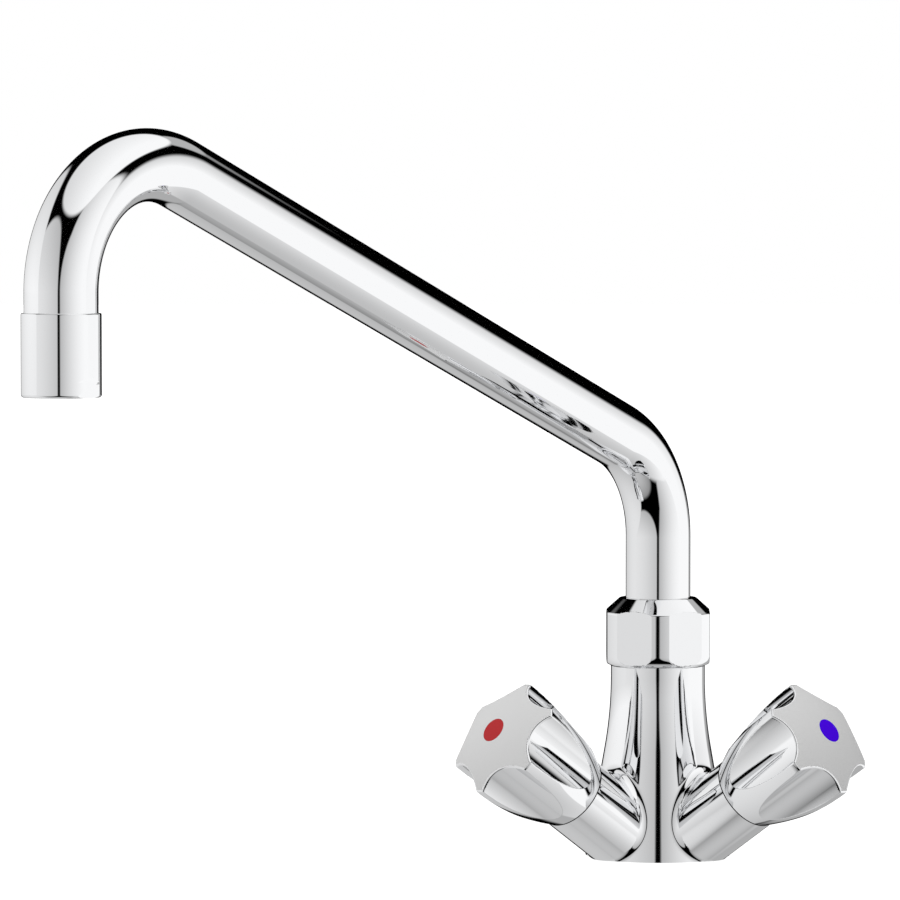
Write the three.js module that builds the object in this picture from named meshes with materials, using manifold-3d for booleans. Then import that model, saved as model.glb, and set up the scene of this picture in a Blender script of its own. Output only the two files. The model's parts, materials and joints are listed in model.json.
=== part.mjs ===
// Two handle kitchen mixer tap for one hole in a sink or worktop.
//
// A flared column stands on the deck and carries a swivelling bent spout under a union nut.
// Two short arms leave the column to the front left and front right, each with a ceramic disc
// headwork and a six-lobed knob. Left is hot, right is cold.
//
// Millimetres, +Z up. The origin is the centre of the base on the deck, the front is -Y and
// +X is to the right. Everything is drawn with the valves closed.

import * as THREE from 'three';
import { mergeVertices } from 'three/addons/utils/BufferGeometryUtils.js';
import Module from 'manifold-3d';

const wasm = await Module();
wasm.setup();

// ---------------------------------------------------------------- driving dimensions

// Gaps between pieces
const SEAT_GAP = 0.3; // between a piece and the face it seats on
const BORE_GAP = 0.3; // round a piece that fills a bore
const SKIRT_GAP = 0.4; // between the turning knob and the end of its arm
const SPLINE_GAP = 0.25; // round the spindle's teeth in the knob

// Column
const BASE_RADIUS = 25;
const COLUMN_RADIUS = 16;
const FLARE_TOP = 61; // height at which the flare begins
const FLARE_ANGLE = 10; // degrees, slope of the foot
const SHOULDER_HEIGHT = 64.6; // step that the nut comes down to
const SPIGOT_RADIUS = 13.1; // threaded spigot, G 3/4
const SPIGOT_LENGTH = 15.5;
const SPIGOT_CHAMFER = 0.8;
const SOCKET_RADIUS = 10; // bore that the spout tailpiece plugs into
const SOCKET_DEPTH = 15;
const MIXING_RADIUS = 8;
const MIXING_FLOOR = 24;

// Arms
const ARM_AZIMUTH = 49.5; // degrees from the front
const ARM_ELEVATION = 34; // degrees above the deck
const ARM_CROSSING = -2.2; // height at which both arm axes meet the column's axis
const ARM_RADIUS = 13.2;
const ARM_LENGTH = 47.2; // from the column's axis to the arm's end face
const ARM_FILLET = 3.5;

// Waterways
const INLET_RADIUS = 4.5; // tapped for an M10 x 1 hose end
const INLET_DEPTH = 11;
const INLET_OFFSET = 11.5; // from the column's axis, below each arm
const FEED_RADIUS = 3.2; // from the inlet to the valve seat
const OUTFLOW_RADIUS = 2.8; // from the valve chamber to the mixing chamber
const OUTFLOW_START = 5.1; // where it leaves the chamber, beyond the valve seat
const OUTFLOW_LIFT = 4.3; // and above the arm's axis
const STUD_HOLE_RADIUS = 3.4; // tapped for an M8 stud
const STUD_HOLE_DEPTH = 14;
const STUD_HOLE_OFFSET = 12; // behind the column's axis

// Base seal, in a groove under the base
const SEAL_GROOVE_INNER = 19;
const SEAL_GROOVE_OUTER = 21.6;
const SEAL_GROOVE_DEPTH = 1.8;

// Union nut
const NUT_ACROSS_FLATS = 34.8;
const NUT_TURNED_RADIUS = 18.6; // corners turned down to this
const NUT_HEIGHT = 22.9;
const NUT_TOP_FLAT = 2.1; // width of the flat ring round the spout
const NUT_WEB = 3.3; // thickness over the slide ring
const NUT_FOOT_INSET = 2.4; // rounded lower edge, inwards
const NUT_FOOT_RISE = 3.7; // rounded lower edge, upwards
const NUT_CLOCK = 1; // degrees that a corner stands off the front

// Spout
const SPOUT_SWING = 38; // degrees to the left of the front, as it stands at rest
const TUBE_RADIUS = 11;
const TUBE_WALL = 1;
const RISER_TOP = 108.7; // where the first bend begins
const BEND_RADIUS = 38; // both bends, on the tube's centreline
const SLOPE = 21.4; // degrees, rise of the long run
const RUN_LENGTH = 234.5; // straight part of the long run
const OUTLET_LOWEST = 163.6; // underside of the outlet

// Tailpiece, brazed into the foot of the spout tube
const COLLAR_RADIUS = 12.7;
const COLLAR_HEIGHT = 2;
const PLUG_LENGTH = 13.5;
const SLEEVE_LENGTH = 8;
const TAILPIECE_BORE = 7.2;
const SLIDE_RING_HEIGHT = 1.5;

// O-rings and their grooves
const O_RING_SECTION = 0.6; // radius of the cord
const GROOVE_DEPTH = 1.5;
const GROOVE_WIDTH = 1.8;
const SPOUT_O_RING_HEIGHTS = [4, 9.5]; // above the foot of the plug

// Outlet with its aerator
const OUTLET_RADIUS = 11.9;
const OUTLET_HEIGHT = 24.8;
const OUTLET_CHAMFER = 1;
const OUTLET_TOP_CHAMFER = 0.6;
const OUTLET_LIP = 1; // height of the lip that holds the insert
const OUTLET_MOUTH = 9.4; // radius of the lip's opening
const FLAT_HALF_WIDTH = 11; // half the distance across the two spanner flats
const FLAT_HEIGHT = 4.6;
const FLAT_RUNOUT = 1.4;
const INSERT_BODY_RADIUS = 10.1;
const INSERT_BODY_HEIGHT = 5.4;
const INSERT_FLANGE_HEIGHT = 1.7;
const WASHER_HEIGHT = 1.7;
const WASHER_HOLE = 8.4;
const SCREEN_HEIGHT = 0.7;
const CELL_PITCH = 3.7; // honeycomb of the insert
const CELL_ACROSS_FLATS = 3.2;
const SCREEN_PITCH = 3;
const SCREEN_HOLE = 1.8; // width of the screen's square holes
const SCREEN_TURN = 30; // degrees that the holes stand turned in their rows

// Headwork, measured along the arm
const VALVE_SEAT = 30; // seat face, from the column's axis
const CHAMBER_RADIUS = 9.6;
const CHAMBER_LENGTH = 8.5;
const HEADWORK_BORE = 10.5; // threaded mouth of the arm, G 1/2
const CAGE_RADIUS = 8.2;
const CAGE_WALL = 1.2;
const CAGE_LENGTH = 7;
const SEAT_SEAL_HEIGHT = 2.3;
const SEAT_SEAL_PROUD = 0.7; // how far the seal stands out of the cage
const SEAT_SEAL_HOLE = 4;
const FIXED_DISC_HEIGHT = 2.5;
const MOVING_DISC_HEIGHT = 2;
const DISC_PORT_INNER = 1.4;
const DISC_PORT_OUTER = 5.2;
const DISC_PORT_ANGLE = 150; // degrees
const WINDOW_WIDTH = 7;
const WINDOW_HEIGHT = 4;
const HEX_ACROSS_FLATS = 19;
const HEX_HEIGHT = 4.9;
const HEX_FLANGE = 1.2; // round flange under the hexagon
const NECK_RADIUS = 6.3;
const NECK_HEIGHT = 11.6;
const THREAD_LIP = 0.5; // collar between the groove and the hexagon

// Spindle
const SPINDLE_RADIUS = 4.3;
const SPINDLE_FLANGE = 2;
const TONGUE_WIDTH = 3;
const TONGUE_HEIGHT = 1.1;
const TONGUE_INSET = 1; // from the flange's rim to the tongue's end
const SPINDLE_GROOVE_DEPTH = 1.1;
const SPINDLE_O_RING_SECTION = 0.4;
const SPINDLE_O_RING_DROPS = [9, 14]; // below the top of the neck
const CLIP_RADIUS = 5.4;
const CLIP_THICKNESS = 0.8;
const CLIP_GROOVE_DEPTH = 1;
const CLIP_OPENING = 60; // degrees
const SPLINE_TEETH = 20;
const SPLINE_TIP = 4.1;
const SPLINE_ROOT = 3.6;
const SPLINE_LENGTH = 9.7;

// Knob
const KNOB_RADIUS = 20.6; // over the lobes
const KNOB_HEIGHT = 40.8;
const KNOB_CLOCK = 3.5; // degrees that the upper lobe stands off the top
const FACE_RADIUS = 42; // domed face
const LOBES = 6;
const SCALLOP_RADIUS = 14.3;
const SCALLOP_FLOOR = 15.6; // from the knob's axis to the bottom of a scallop
const BARREL_CONTROL_RADIUS = 20.9; // pull of the curve from the rim down to the skirt
const BARREL_CONTROL_DEPTH = 22.7;
const SKIRT_WALL = 1.6;
const KNOB_ROOF = 16; // depth of the solid crown
const BOSS_RADIUS = 6.4;
const SCREW_WEB = 3; // crown left under the screw's head
const BUTTON_RADIUS = 4.2;
const BUTTON_DEPTH = 3;
const BUTTON_GAP = 0.2;

// Knob screw, M4
const SCREW_RADIUS = 2;
const SCREW_HEAD_RADIUS = 3.4;
const SCREW_HEAD_HEIGHT = 2.8;
const SCREW_LENGTH = 11;
const SCREW_SLOT = 1;

// Facets
const ROUND = 30; // sides of the large round forms
const SMALL_ROUND = 16; // sides of the small ones
const BUTTON_SIDES = 24;
const O_RING_SIDES = 6;
const O_RING_STEPS = 11;
const TUBE_SIDES = 24;
const TUBE_BORE_SIDES = 16;
const BEND_STEP = 10; // degrees of bend in one step of the tube
const FLARE_STEPS = 3;
const FILLET_STEPS = 3;
const SCALLOP_SIDES = 32;
const BARREL_STEPS = 5;
const FACE_STEPS = 2;

// ---------------------------------------------------------------- finishes

const chrome = { color: 0xe4e6e8, roughness: 0.06, metalness: 1 };
const brass = { color: 0xb99a55, roughness: 0.35, metalness: 1 };
const steel = { color: 0xb8babd, roughness: 0.3, metalness: 1 };
const rubber = { color: 0x1c1c1c, roughness: 0.8, metalness: 0 };
const ceramic = { color: 0xf1efe8, roughness: 0.25, metalness: 0 };
const acetal = { color: 0xe9e9e4, roughness: 0.5, metalness: 0 };
const hotRed = { color: 0xb13639, roughness: 0.3, metalness: 0 };
const coldBlue = { color: 0x4309d1, roughness: 0.3, metalness: 0 };

// ---------------------------------------------------------------- making solids

const radians = THREE.MathUtils.degToRad;
const BEYOND = 2; // how far a cutting tool runs past the face it breaks

// Closed solid of a geometry, with shared corners merged and flat slivers dropped.
function solid(geometry) {
  const bare = geometry.clone();
  bare.deleteAttribute('normal');
  bare.deleteAttribute('uv');
  const merged = mergeVertices(bare);
  const corners = merged.index.array;
  const kept = [];
  for (let i = 0; i < corners.length; i += 3) {
    const [a, b, c] = [corners[i], corners[i + 1], corners[i + 2]];
    if (a !== b && b !== c && c !== a) kept.push(a, b, c);
  }
  const vertProperties = new Float32Array(merged.getAttribute('position').array);
  const triVerts = new Uint32Array(kept);
  return new wasm.Manifold(new wasm.Mesh({ numProp: 3, vertProperties, triVerts }));
}

function geometryOf(body) {
  const mesh = body.getMesh();
  const geometry = new THREE.BufferGeometry();
  geometry.setAttribute('position', new THREE.BufferAttribute(mesh.vertProperties, 3));
  geometry.setIndex(new THREE.BufferAttribute(mesh.triVerts, 1));
  geometry.computeVertexNormals();
  return geometry;
}

// Solid of revolution about Z. The profile is a list of [radius, height], outer side going up;
// one that doesn't end on the axis is closed into a ring.
function revolve(profile, sides = ROUND) {
  const points = profile.map(([radius, height]) => new THREE.Vector2(radius, height));
  const onAxis = points[0].x === 0 && points[points.length - 1].x === 0;
  if (!onAxis) points.push(points[0].clone());
  return solid(new THREE.LatheGeometry(points, sides).rotateX(Math.PI / 2));
}

// Upright cylinder between two heights.
function rod(radius, low, high, sides = ROUND) {
  return revolve([[0, low], [radius, low], [radius, high], [0, high]], sides);
}

// Upright prism of a flat outline between two heights.
function prism(shape, low, high) {
  const options = { depth: high - low, bevelEnabled: false, curveSegments: SMALL_ROUND / 2 };
  return solid(new THREE.ExtrudeGeometry(shape, options).translate(0, 0, low));
}

// Block given by its two opposite corners.
function block(low, high) {
  const size = high.map((value, i) => value - low[i]);
  const middle = high.map((value, i) => (value + low[i]) / 2);
  return solid(new THREE.BoxGeometry(...size).translate(...middle));
}

function torus(radius, section, height) {
  const ring = new THREE.TorusGeometry(radius, section, O_RING_SIDES, O_RING_STEPS);
  return solid(ring.translate(0, 0, height));
}

// Straight cylinder from one point to another.
function duct(radius, from, to) {
  const length = from.distanceTo(to);
  const along = to.clone().sub(from).normalize();
  const turn = new THREE.Quaternion().setFromUnitVectors(new THREE.Vector3(0, 1, 0), along);
  const geometry = new THREE.CylinderGeometry(radius, radius, length, SMALL_ROUND);
  geometry.applyQuaternion(turn);
  geometry.translate(...from.clone().add(to).multiplyScalar(0.5));
  return solid(geometry);
}

function polygon(points) {
  return new THREE.Shape(points.map(([x, y]) => new THREE.Vector2(x, y)));
}

function regularPolygon(sides, acrossFlats, turn = 0) {
  const radius = acrossFlats / 2 / Math.cos(Math.PI / sides);
  const points = [];
  for (let i = 0; i < sides; i += 1) {
    const angle = turn + (i * 2 * Math.PI) / sides;
    points.push([radius * Math.cos(angle), radius * Math.sin(angle)]);
  }
  return points;
}

// Points of an arc or of part of an ellipse, both ends included.
function arc(cx, cy, rx, ry, from, to, steps) {
  const curve = new THREE.EllipseCurve(cx, cy, rx, ry, from, to, to < from);
  return curve.getPoints(steps).map((point) => [point.x, point.y]);
}

function piece(name, body, finish) {
  const mesh = new THREE.Mesh(geometryOf(body), new THREE.MeshStandardMaterial(finish));
  mesh.name = name;
  return mesh;
}

// ---------------------------------------------------------------- column profile

const flareAngle = radians(FLARE_ANGLE);
// Radius of the arc that leads from the straight column into the sloping foot.
const flareRadius = (FLARE_TOP * Math.tan(flareAngle) - (BASE_RADIUS - COLUMN_RADIUS))
  / (Math.sin(flareAngle) * Math.tan(flareAngle) - (1 - Math.cos(flareAngle)));
const flareCentre = COLUMN_RADIUS + flareRadius;

// How far a point stands off the column's surface, and the way out from that surface.
function offColumn(point) {
  const reach = Math.hypot(point.x, point.y);
  const below = FLARE_TOP - point.z;
  const lean = Math.atan2(below, flareCentre - reach);
  let distance = reach - COLUMN_RADIUS;
  let slope = 0;
  if (lean > flareAngle) {
    slope = flareAngle;
    const surface = BASE_RADIUS - point.z * Math.tan(flareAngle);
    distance = (reach - surface) * Math.cos(flareAngle);
  } else if (lean > 0) {
    slope = lean;
    distance = flareRadius - Math.hypot(below, flareCentre - reach);
  }
  const flat = Math.cos(slope) / reach;
  const out = new THREE.Vector3(point.x * flat, point.y * flat, Math.sin(slope));
  return { distance, out };
}

// ---------------------------------------------------------------- arm frame

// Frame whose Z runs out along an arm. side is -1 for hot (left) and 1 for cold (right).
function armFrame(side) {
  const swing = new THREE.Matrix4().makeRotationZ(side * radians(ARM_AZIMUTH));
  const tilt = new THREE.Matrix4().makeRotationX(radians(90 - ARM_ELEVATION));
  const lift = new THREE.Matrix4().makeTranslation(0, 0, ARM_CROSSING);
  return lift.multiply(swing).multiply(tilt);
}

function inFrame(body, frame) {
  return solid(geometryOf(body).applyMatrix4(frame));
}

// Distance out along the arm at which a ball that lies on the arm first touches the column.
function touchingDistance(start, along, radius) {
  let [inside, outside] = [0, 2 * ARM_LENGTH];
  while (outside - inside > 1e-4) {
    const middle = (inside + outside) / 2;
    const trial = start.clone().addScaledVector(along, middle);
    if (offColumn(trial).distance < radius) inside = middle;
    else outside = middle;
  }
  return outside;
}

// Arm with its fillet, as one skin. The fillet is the path of a ball that rolls round the arm
// while it touches the column; past it the skin closes on a point inside the column.
function armSkin(frame) {
  const sunk = 0.15; // depth at which the fillet's far edge ends under the faceted column
  const along = new THREE.Vector3().setFromMatrixColumn(frame, 2);
  const origin = new THREE.Vector3().setFromMatrixPosition(frame);
  const rows = Array.from({ length: FILLET_STEPS + 2 }, () => []);
  for (let i = 0; i < ROUND; i += 1) {
    const angle = ((i + 0.5) * 2 * Math.PI) / ROUND;
    const around = new THREE.Vector3(Math.cos(angle), Math.sin(angle), 0).transformDirection(frame);
    const end = origin.clone().addScaledVector(around, ARM_RADIUS);
    rows[0].push(end.addScaledVector(along, ARM_LENGTH));

    const start = origin.clone().addScaledVector(around, ARM_RADIUS + ARM_FILLET);
    const centre = start.clone().addScaledVector(along, touchingDistance(start, along, ARM_FILLET));
    const toArm = around.clone().negate();
    const toColumn = offColumn(centre).out.negate();
    const opening = toArm.angleTo(toColumn);
    for (let j = 0; j <= FILLET_STEPS; j += 1) {
      const part = j / FILLET_STEPS;
      const way = toArm.clone().multiplyScalar(Math.sin((1 - part) * opening));
      way.addScaledVector(toColumn, Math.sin(part * opening)).normalize();
      rows[j + 1].push(centre.clone().addScaledVector(way, ARM_FILLET + sunk * part));
    }
  }
  const face = origin.clone().addScaledVector(along, ARM_LENGTH);
  const buried = new THREE.Vector3(0, 0, ARM_RADIUS);
  return skin(rows, face, buried);
}

// Closed skin through rows of points, with a fan to a point at each end.
function skin(rows, first, last) {
  const count = rows[0].length;
  const points = [...rows.flat(), first, last];
  const [firstIndex, lastIndex] = [points.length - 2, points.length - 1];
  const lastRow = (rows.length - 1) * count;
  const index = [];
  for (let i = 0; i < count; i += 1) {
    const k = (i + 1) % count;
    index.push(firstIndex, i, k);
    index.push(lastIndex, lastRow + k, lastRow + i);
    for (let j = 0; j < lastRow; j += count) {
      index.push(j + i, j + count + i, j + count + k, j + i, j + count + k, j + k);
    }
  }
  const geometry = new THREE.BufferGeometry().setFromPoints(points);
  geometry.setIndex(index);
  return solid(geometry);
}

// ---------------------------------------------------------------- mixer body

const spigotTop = SHOULDER_HEIGHT + SPIGOT_LENGTH;
const socketFloor = spigotTop - SOCKET_DEPTH;

function mixerBody() {
  const footRun = 30; // the foot's slope is drawn this far below the deck, then cut off
  const flare = arc(flareCentre, FLARE_TOP, flareRadius, flareRadius,
    Math.PI + flareAngle, Math.PI, FLARE_STEPS);
  let body = revolve([
    [0, -footRun],
    [BASE_RADIUS + footRun * Math.tan(flareAngle), -footRun],
    ...flare,
    [COLUMN_RADIUS, SHOULDER_HEIGHT],
    [SPIGOT_RADIUS, SHOULDER_HEIGHT],
    [SPIGOT_RADIUS, spigotTop - SPIGOT_CHAMFER],
    [SPIGOT_RADIUS - SPIGOT_CHAMFER, spigotTop],
    [0, spigotTop],
  ]);
  for (const side of [-1, 1]) body = body.add(armSkin(armFrame(side)));
  const wide = 2 * ARM_LENGTH;
  body = body.intersect(block([-wide, -wide, 0], [wide, wide, spigotTop + BEYOND]));

  const bore = revolve([
    [0, MIXING_FLOOR],
    [MIXING_RADIUS, MIXING_FLOOR],
    [MIXING_RADIUS, socketFloor],
    [SOCKET_RADIUS, socketFloor],
    [SOCKET_RADIUS, spigotTop + BEYOND],
    [0, spigotTop + BEYOND],
  ], SMALL_ROUND);
  body = body.subtract(bore);
  for (const side of [-1, 1]) body = body.subtract(armWaterway(side));

  const studHole = rod(STUD_HOLE_RADIUS, -BEYOND, STUD_HOLE_DEPTH, SMALL_ROUND);
  body = body.subtract(studHole.translate([0, STUD_HOLE_OFFSET, 0]));
  const sealGroove = revolve([
    [SEAL_GROOVE_INNER, -BEYOND],
    [SEAL_GROOVE_OUTER, -BEYOND],
    [SEAL_GROOVE_OUTER, SEAL_GROOVE_DEPTH],
    [SEAL_GROOVE_INNER, SEAL_GROOVE_DEPTH],
  ]);
  return body.subtract(sealGroove);
}

// Everything cut out of one arm: threaded mouth, valve chamber, feed, inlet and outflow.
function armWaterway(side) {
  const frame = armFrame(side);
  const chamberEnd = VALVE_SEAT + CHAMBER_LENGTH;
  const feedStart = INLET_OFFSET / Math.cos(radians(ARM_ELEVATION));
  const along = revolve([
    [0, feedStart],
    [FEED_RADIUS, feedStart],
    [FEED_RADIUS, VALVE_SEAT],
    [CHAMBER_RADIUS, VALVE_SEAT],
    [CHAMBER_RADIUS, chamberEnd],
    [HEADWORK_BORE, chamberEnd],
    [HEADWORK_BORE, ARM_LENGTH + BEYOND],
    [0, ARM_LENGTH + BEYOND],
  ], SMALL_ROUND);
  const chamber = new THREE.Vector3(0, OUTFLOW_LIFT, VALVE_SEAT + OUTFLOW_START);
  chamber.applyMatrix4(frame);
  const mixing = new THREE.Vector3(0, 0, MIXING_FLOOR + 2 * OUTFLOW_RADIUS);
  const inlet = rod(INLET_RADIUS, -BEYOND, INLET_DEPTH, SMALL_ROUND);
  const turn = side * radians(ARM_AZIMUTH);
  const place = [INLET_OFFSET * Math.sin(turn), -INLET_OFFSET * Math.cos(turn), 0];
  return inFrame(along, frame)
    .add(duct(OUTFLOW_RADIUS, chamber, mixing))
    .add(inlet.translate(place));
}

function baseSeal() {
  return revolve([
    [SEAL_GROOVE_INNER + BORE_GAP, 0],
    [SEAL_GROOVE_OUTER - BORE_GAP, 0],
    [SEAL_GROOVE_OUTER - BORE_GAP, SEAL_GROOVE_DEPTH - SEAT_GAP],
    [SEAL_GROOVE_INNER + BORE_GAP, SEAL_GROOVE_DEPTH - SEAT_GAP],
  ]);
}

// ---------------------------------------------------------------- union nut

const nutFoot = SHOULDER_HEIGHT + SEAT_GAP;
const nutTop = nutFoot + NUT_HEIGHT;
const nutHole = TUBE_RADIUS + BORE_GAP;

function unionNut() {
  const flatEdge = nutHole + NUT_TOP_FLAT;
  const foot = arc(NUT_TURNED_RADIUS - NUT_FOOT_INSET, nutFoot + NUT_FOOT_RISE,
    NUT_FOOT_INSET, NUT_FOOT_RISE, -Math.PI / 2, 0, FILLET_STEPS);
  const turned = revolve([
    [0, nutFoot],
    ...foot,
    [NUT_TURNED_RADIUS, nutTop - (NUT_TURNED_RADIUS - flatEdge)],
    [flatEdge, nutTop],
    [0, nutTop],
  ]);
  const corner = radians(NUT_CLOCK - 90);
  const hexagon = polygon(regularPolygon(6, NUT_ACROSS_FLATS, corner));
  const bore = revolve([
    [0, nutFoot - BEYOND],
    [SPIGOT_RADIUS + BORE_GAP, nutFoot - BEYOND],
    [SPIGOT_RADIUS + BORE_GAP, nutTop - NUT_WEB],
    [nutHole, nutTop - NUT_WEB],
    [nutHole, nutTop + BEYOND],
    [0, nutTop + BEYOND],
  ]);
  return prism(hexagon, nutFoot, nutTop).intersect(turned).subtract(bore);
}

// ---------------------------------------------------------------- spout, in its own frame

// The spout's frame has X along its reach, so the tube lies in the XZ plane.

const collarFoot = spigotTop + SEAT_GAP;
const collarTop = collarFoot + COLLAR_HEIGHT;
const tubeFoot = collarTop + SEAT_GAP;
const plugFoot = collarFoot - PLUG_LENGTH;
const slope = radians(SLOPE);
const outletBend = Math.PI / 2 + slope;
const riserBend = Math.PI / 2 - slope;
const runStart = [BEND_RADIUS * (1 - Math.sin(slope)), RISER_TOP + BEND_RADIUS * Math.cos(slope)];
const runEnd = [
  runStart[0] + RUN_LENGTH * Math.cos(slope),
  runStart[1] + RUN_LENGTH * Math.sin(slope),
];
const outletCentre = [
  runEnd[0] + BEND_RADIUS * Math.sin(slope),
  runEnd[1] - BEND_RADIUS * Math.cos(slope),
];
const reach = outletCentre[0] + BEND_RADIUS;

// Insert stack in the outlet, from below
const insertFoot = OUTLET_LOWEST + OUTLET_LIP + SEAT_GAP;
const ledge = insertFoot + INSERT_BODY_HEIGHT - SEAT_GAP;
const insertTop = ledge + SEAT_GAP + INSERT_FLANGE_HEIGHT;
const washerFoot = insertTop + SEAT_GAP;
const washerTop = washerFoot + WASHER_HEIGHT;
const tubeEnd = washerTop + SEAT_GAP;
const flangeRadius = TUBE_RADIUS;
const outletBore = TUBE_RADIUS + BORE_GAP;

// Centreline of the tube, given as the stations at which a section stands.
class StationPath extends THREE.Curve {
  constructor(stations) {
    super();
    this.stations = stations;
  }

  station(t) {
    return this.stations[Math.round(t * (this.stations.length - 1))];
  }

  getPointAt(t, target = new THREE.Vector3()) {
    return target.copy(this.station(t).point);
  }

  getTangentAt(t, target = new THREE.Vector3()) {
    return target.copy(this.station(t).heading);
  }
}

function spoutStations() {
  const at = (x, z, heading) => ({
    point: new THREE.Vector3(x, 0, z),
    heading: new THREE.Vector3(Math.cos(heading), 0, Math.sin(heading)),
  });
  const stations = [at(0, tubeFoot, Math.PI / 2)];
  const riserSteps = Math.ceil(riserBend / radians(BEND_STEP));
  for (let i = 0; i <= riserSteps; i += 1) {
    const heading = Math.PI / 2 - (riserBend * i) / riserSteps;
    const x = BEND_RADIUS * (1 - Math.sin(heading));
    stations.push(at(x, RISER_TOP + BEND_RADIUS * Math.cos(heading), heading));
  }
  const outletSteps = Math.ceil(outletBend / radians(BEND_STEP));
  for (let i = 0; i <= outletSteps; i += 1) {
    const heading = slope - (outletBend * i) / outletSteps;
    const x = outletCentre[0] - BEND_RADIUS * Math.sin(heading);
    stations.push(at(x, outletCentre[1] + BEND_RADIUS * Math.cos(heading), heading));
  }
  stations.push(at(reach, tubeEnd, -Math.PI / 2));
  return stations;
}

function spoutTube() {
  const circle = (radius, sides) => {
    const points = new THREE.EllipseCurve(0, 0, radius, radius).getPoints(sides);
    return points.slice(0, sides);
  };
  const section = new THREE.Shape(circle(TUBE_RADIUS, TUBE_SIDES));
  section.holes.push(new THREE.Path(circle(TUBE_RADIUS - TUBE_WALL, TUBE_BORE_SIDES)));
  const stations = spoutStations();
  const extrudePath = new StationPath(stations);
  return solid(new THREE.ExtrudeGeometry(section, { steps: stations.length - 1, extrudePath }));
}

function spoutTailpiece() {
  const plugRadius = SOCKET_RADIUS - BORE_GAP;
  const sleeveRadius = TUBE_RADIUS - TUBE_WALL - BORE_GAP;
  const plug = [[TAILPIECE_BORE, plugFoot], [plugRadius, plugFoot]];
  for (const height of SPOUT_O_RING_HEIGHTS) {
    const low = plugFoot + height - GROOVE_WIDTH / 2;
    const high = low + GROOVE_WIDTH;
    plug.push([plugRadius, low], [plugRadius - GROOVE_DEPTH, low]);
    plug.push([plugRadius - GROOVE_DEPTH, high], [plugRadius, high]);
  }
  return revolve([
    ...plug,
    [plugRadius, collarFoot],
    [COLLAR_RADIUS, collarFoot],
    [COLLAR_RADIUS, collarTop],
    [sleeveRadius, collarTop],
    [sleeveRadius, collarTop + SLEEVE_LENGTH],
    [TAILPIECE_BORE, collarTop + SLEEVE_LENGTH],
  ], SMALL_ROUND);
}

function spoutORing(height) {
  return torus(SOCKET_RADIUS - BORE_GAP - O_RING_SECTION, O_RING_SECTION, plugFoot + height);
}

function slideRing() {
  const inner = TUBE_RADIUS + BORE_GAP;
  return revolve([
    [inner, tubeFoot],
    [COLLAR_RADIUS, tubeFoot],
    [COLLAR_RADIUS, tubeFoot + SLIDE_RING_HEIGHT],
    [inner, tubeFoot + SLIDE_RING_HEIGHT],
  ]);
}

function aeratorHousing() {
  const top = OUTLET_LOWEST + OUTLET_HEIGHT;
  const shell = revolve([
    [OUTLET_MOUTH, OUTLET_LOWEST],
    [OUTLET_RADIUS - OUTLET_CHAMFER, OUTLET_LOWEST],
    [OUTLET_RADIUS, OUTLET_LOWEST + OUTLET_CHAMFER],
    [OUTLET_RADIUS, top - OUTLET_TOP_CHAMFER],
    [OUTLET_RADIUS - OUTLET_TOP_CHAMFER / 2, top],
    [outletBore, top],
    [outletBore, ledge],
    [INSERT_BODY_RADIUS + BORE_GAP, ledge],
    [INSERT_BODY_RADIUS + BORE_GAP, OUTLET_LOWEST + OUTLET_LIP],
    [OUTLET_MOUTH, OUTLET_LOWEST + OUTLET_LIP],
  ]);
  return shell.translate([reach, 0, 0]).subtract(spannerFlats());
}

// The two flats face sideways, square to the spout, and run out in a slope.
function spannerFlats() {
  const outer = OUTLET_RADIUS + BEYOND;
  const low = OUTLET_LOWEST - BEYOND;
  const high = OUTLET_LOWEST + FLAT_HEIGHT;
  const runout = (FLAT_RUNOUT * (outer - FLAT_HALF_WIDTH)) / (OUTLET_RADIUS - FLAT_HALF_WIDTH);
  const outline = polygon([
    [FLAT_HALF_WIDTH, low],
    [outer, low],
    [outer, high + runout],
    [FLAT_HALF_WIDTH, high],
  ]);
  // The outline stands in the YZ plane and is drawn out along X.
  const one = geometryOf(prism(outline, -outer, outer));
  const upright = new THREE.Matrix4().set(0, 0, 1, reach, 1, 0, 0, 0, 0, 1, 0, 0, 0, 0, 0, 1);
  const right = solid(one.applyMatrix4(upright));
  const half = new THREE.Matrix4().makeRotationZ(Math.PI);
  const about = new THREE.Matrix4().makeTranslation(2 * reach, 0, 0).multiply(half);
  return right.add(inFrame(right, about));
}

// Centres of a hexagonal pattern with the given number of rings.
function honeycomb(rings, pitch) {
  const centres = [];
  for (let row = -rings; row <= rings; row += 1) {
    for (let column = -rings; column <= rings; column += 1) {
      const far = Math.abs(row + column);
      if (far > rings) continue;
      centres.push([pitch * (column + row / 2), pitch * row * Math.sin(Math.PI / 3)]);
    }
  }
  return centres;
}

function perforated(radius, pitch, hole) {
  const disc = new THREE.Shape();
  disc.absarc(0, 0, radius, 0, 2 * Math.PI);
  for (const [x, y] of honeycomb(2, pitch)) {
    const points = hole.map(([px, py]) => new THREE.Vector2(x + px, y + py));
    disc.holes.push(new THREE.Path(points.reverse()));
  }
  return disc;
}

function aeratorInsert() {
  const cell = regularPolygon(6, CELL_ACROSS_FLATS, Math.PI / 6);
  const honeycombed = perforated(INSERT_BODY_RADIUS, CELL_PITCH, cell);
  const flangeFoot = ledge + SEAT_GAP;
  const flange = revolve([
    [WASHER_HOLE + BORE_GAP, flangeFoot],
    [flangeRadius, flangeFoot],
    [flangeRadius, insertTop],
    [WASHER_HOLE + BORE_GAP, insertTop],
  ]);
  return prism(honeycombed, insertFoot, insertTop).add(flange).translate([reach, 0, 0]);
}

function aeratorWasher() {
  return revolve([
    [WASHER_HOLE, washerFoot],
    [flangeRadius, washerFoot],
    [flangeRadius, washerTop],
    [WASHER_HOLE, washerTop],
  ], SMALL_ROUND).translate([reach, 0, 0]);
}

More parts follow.
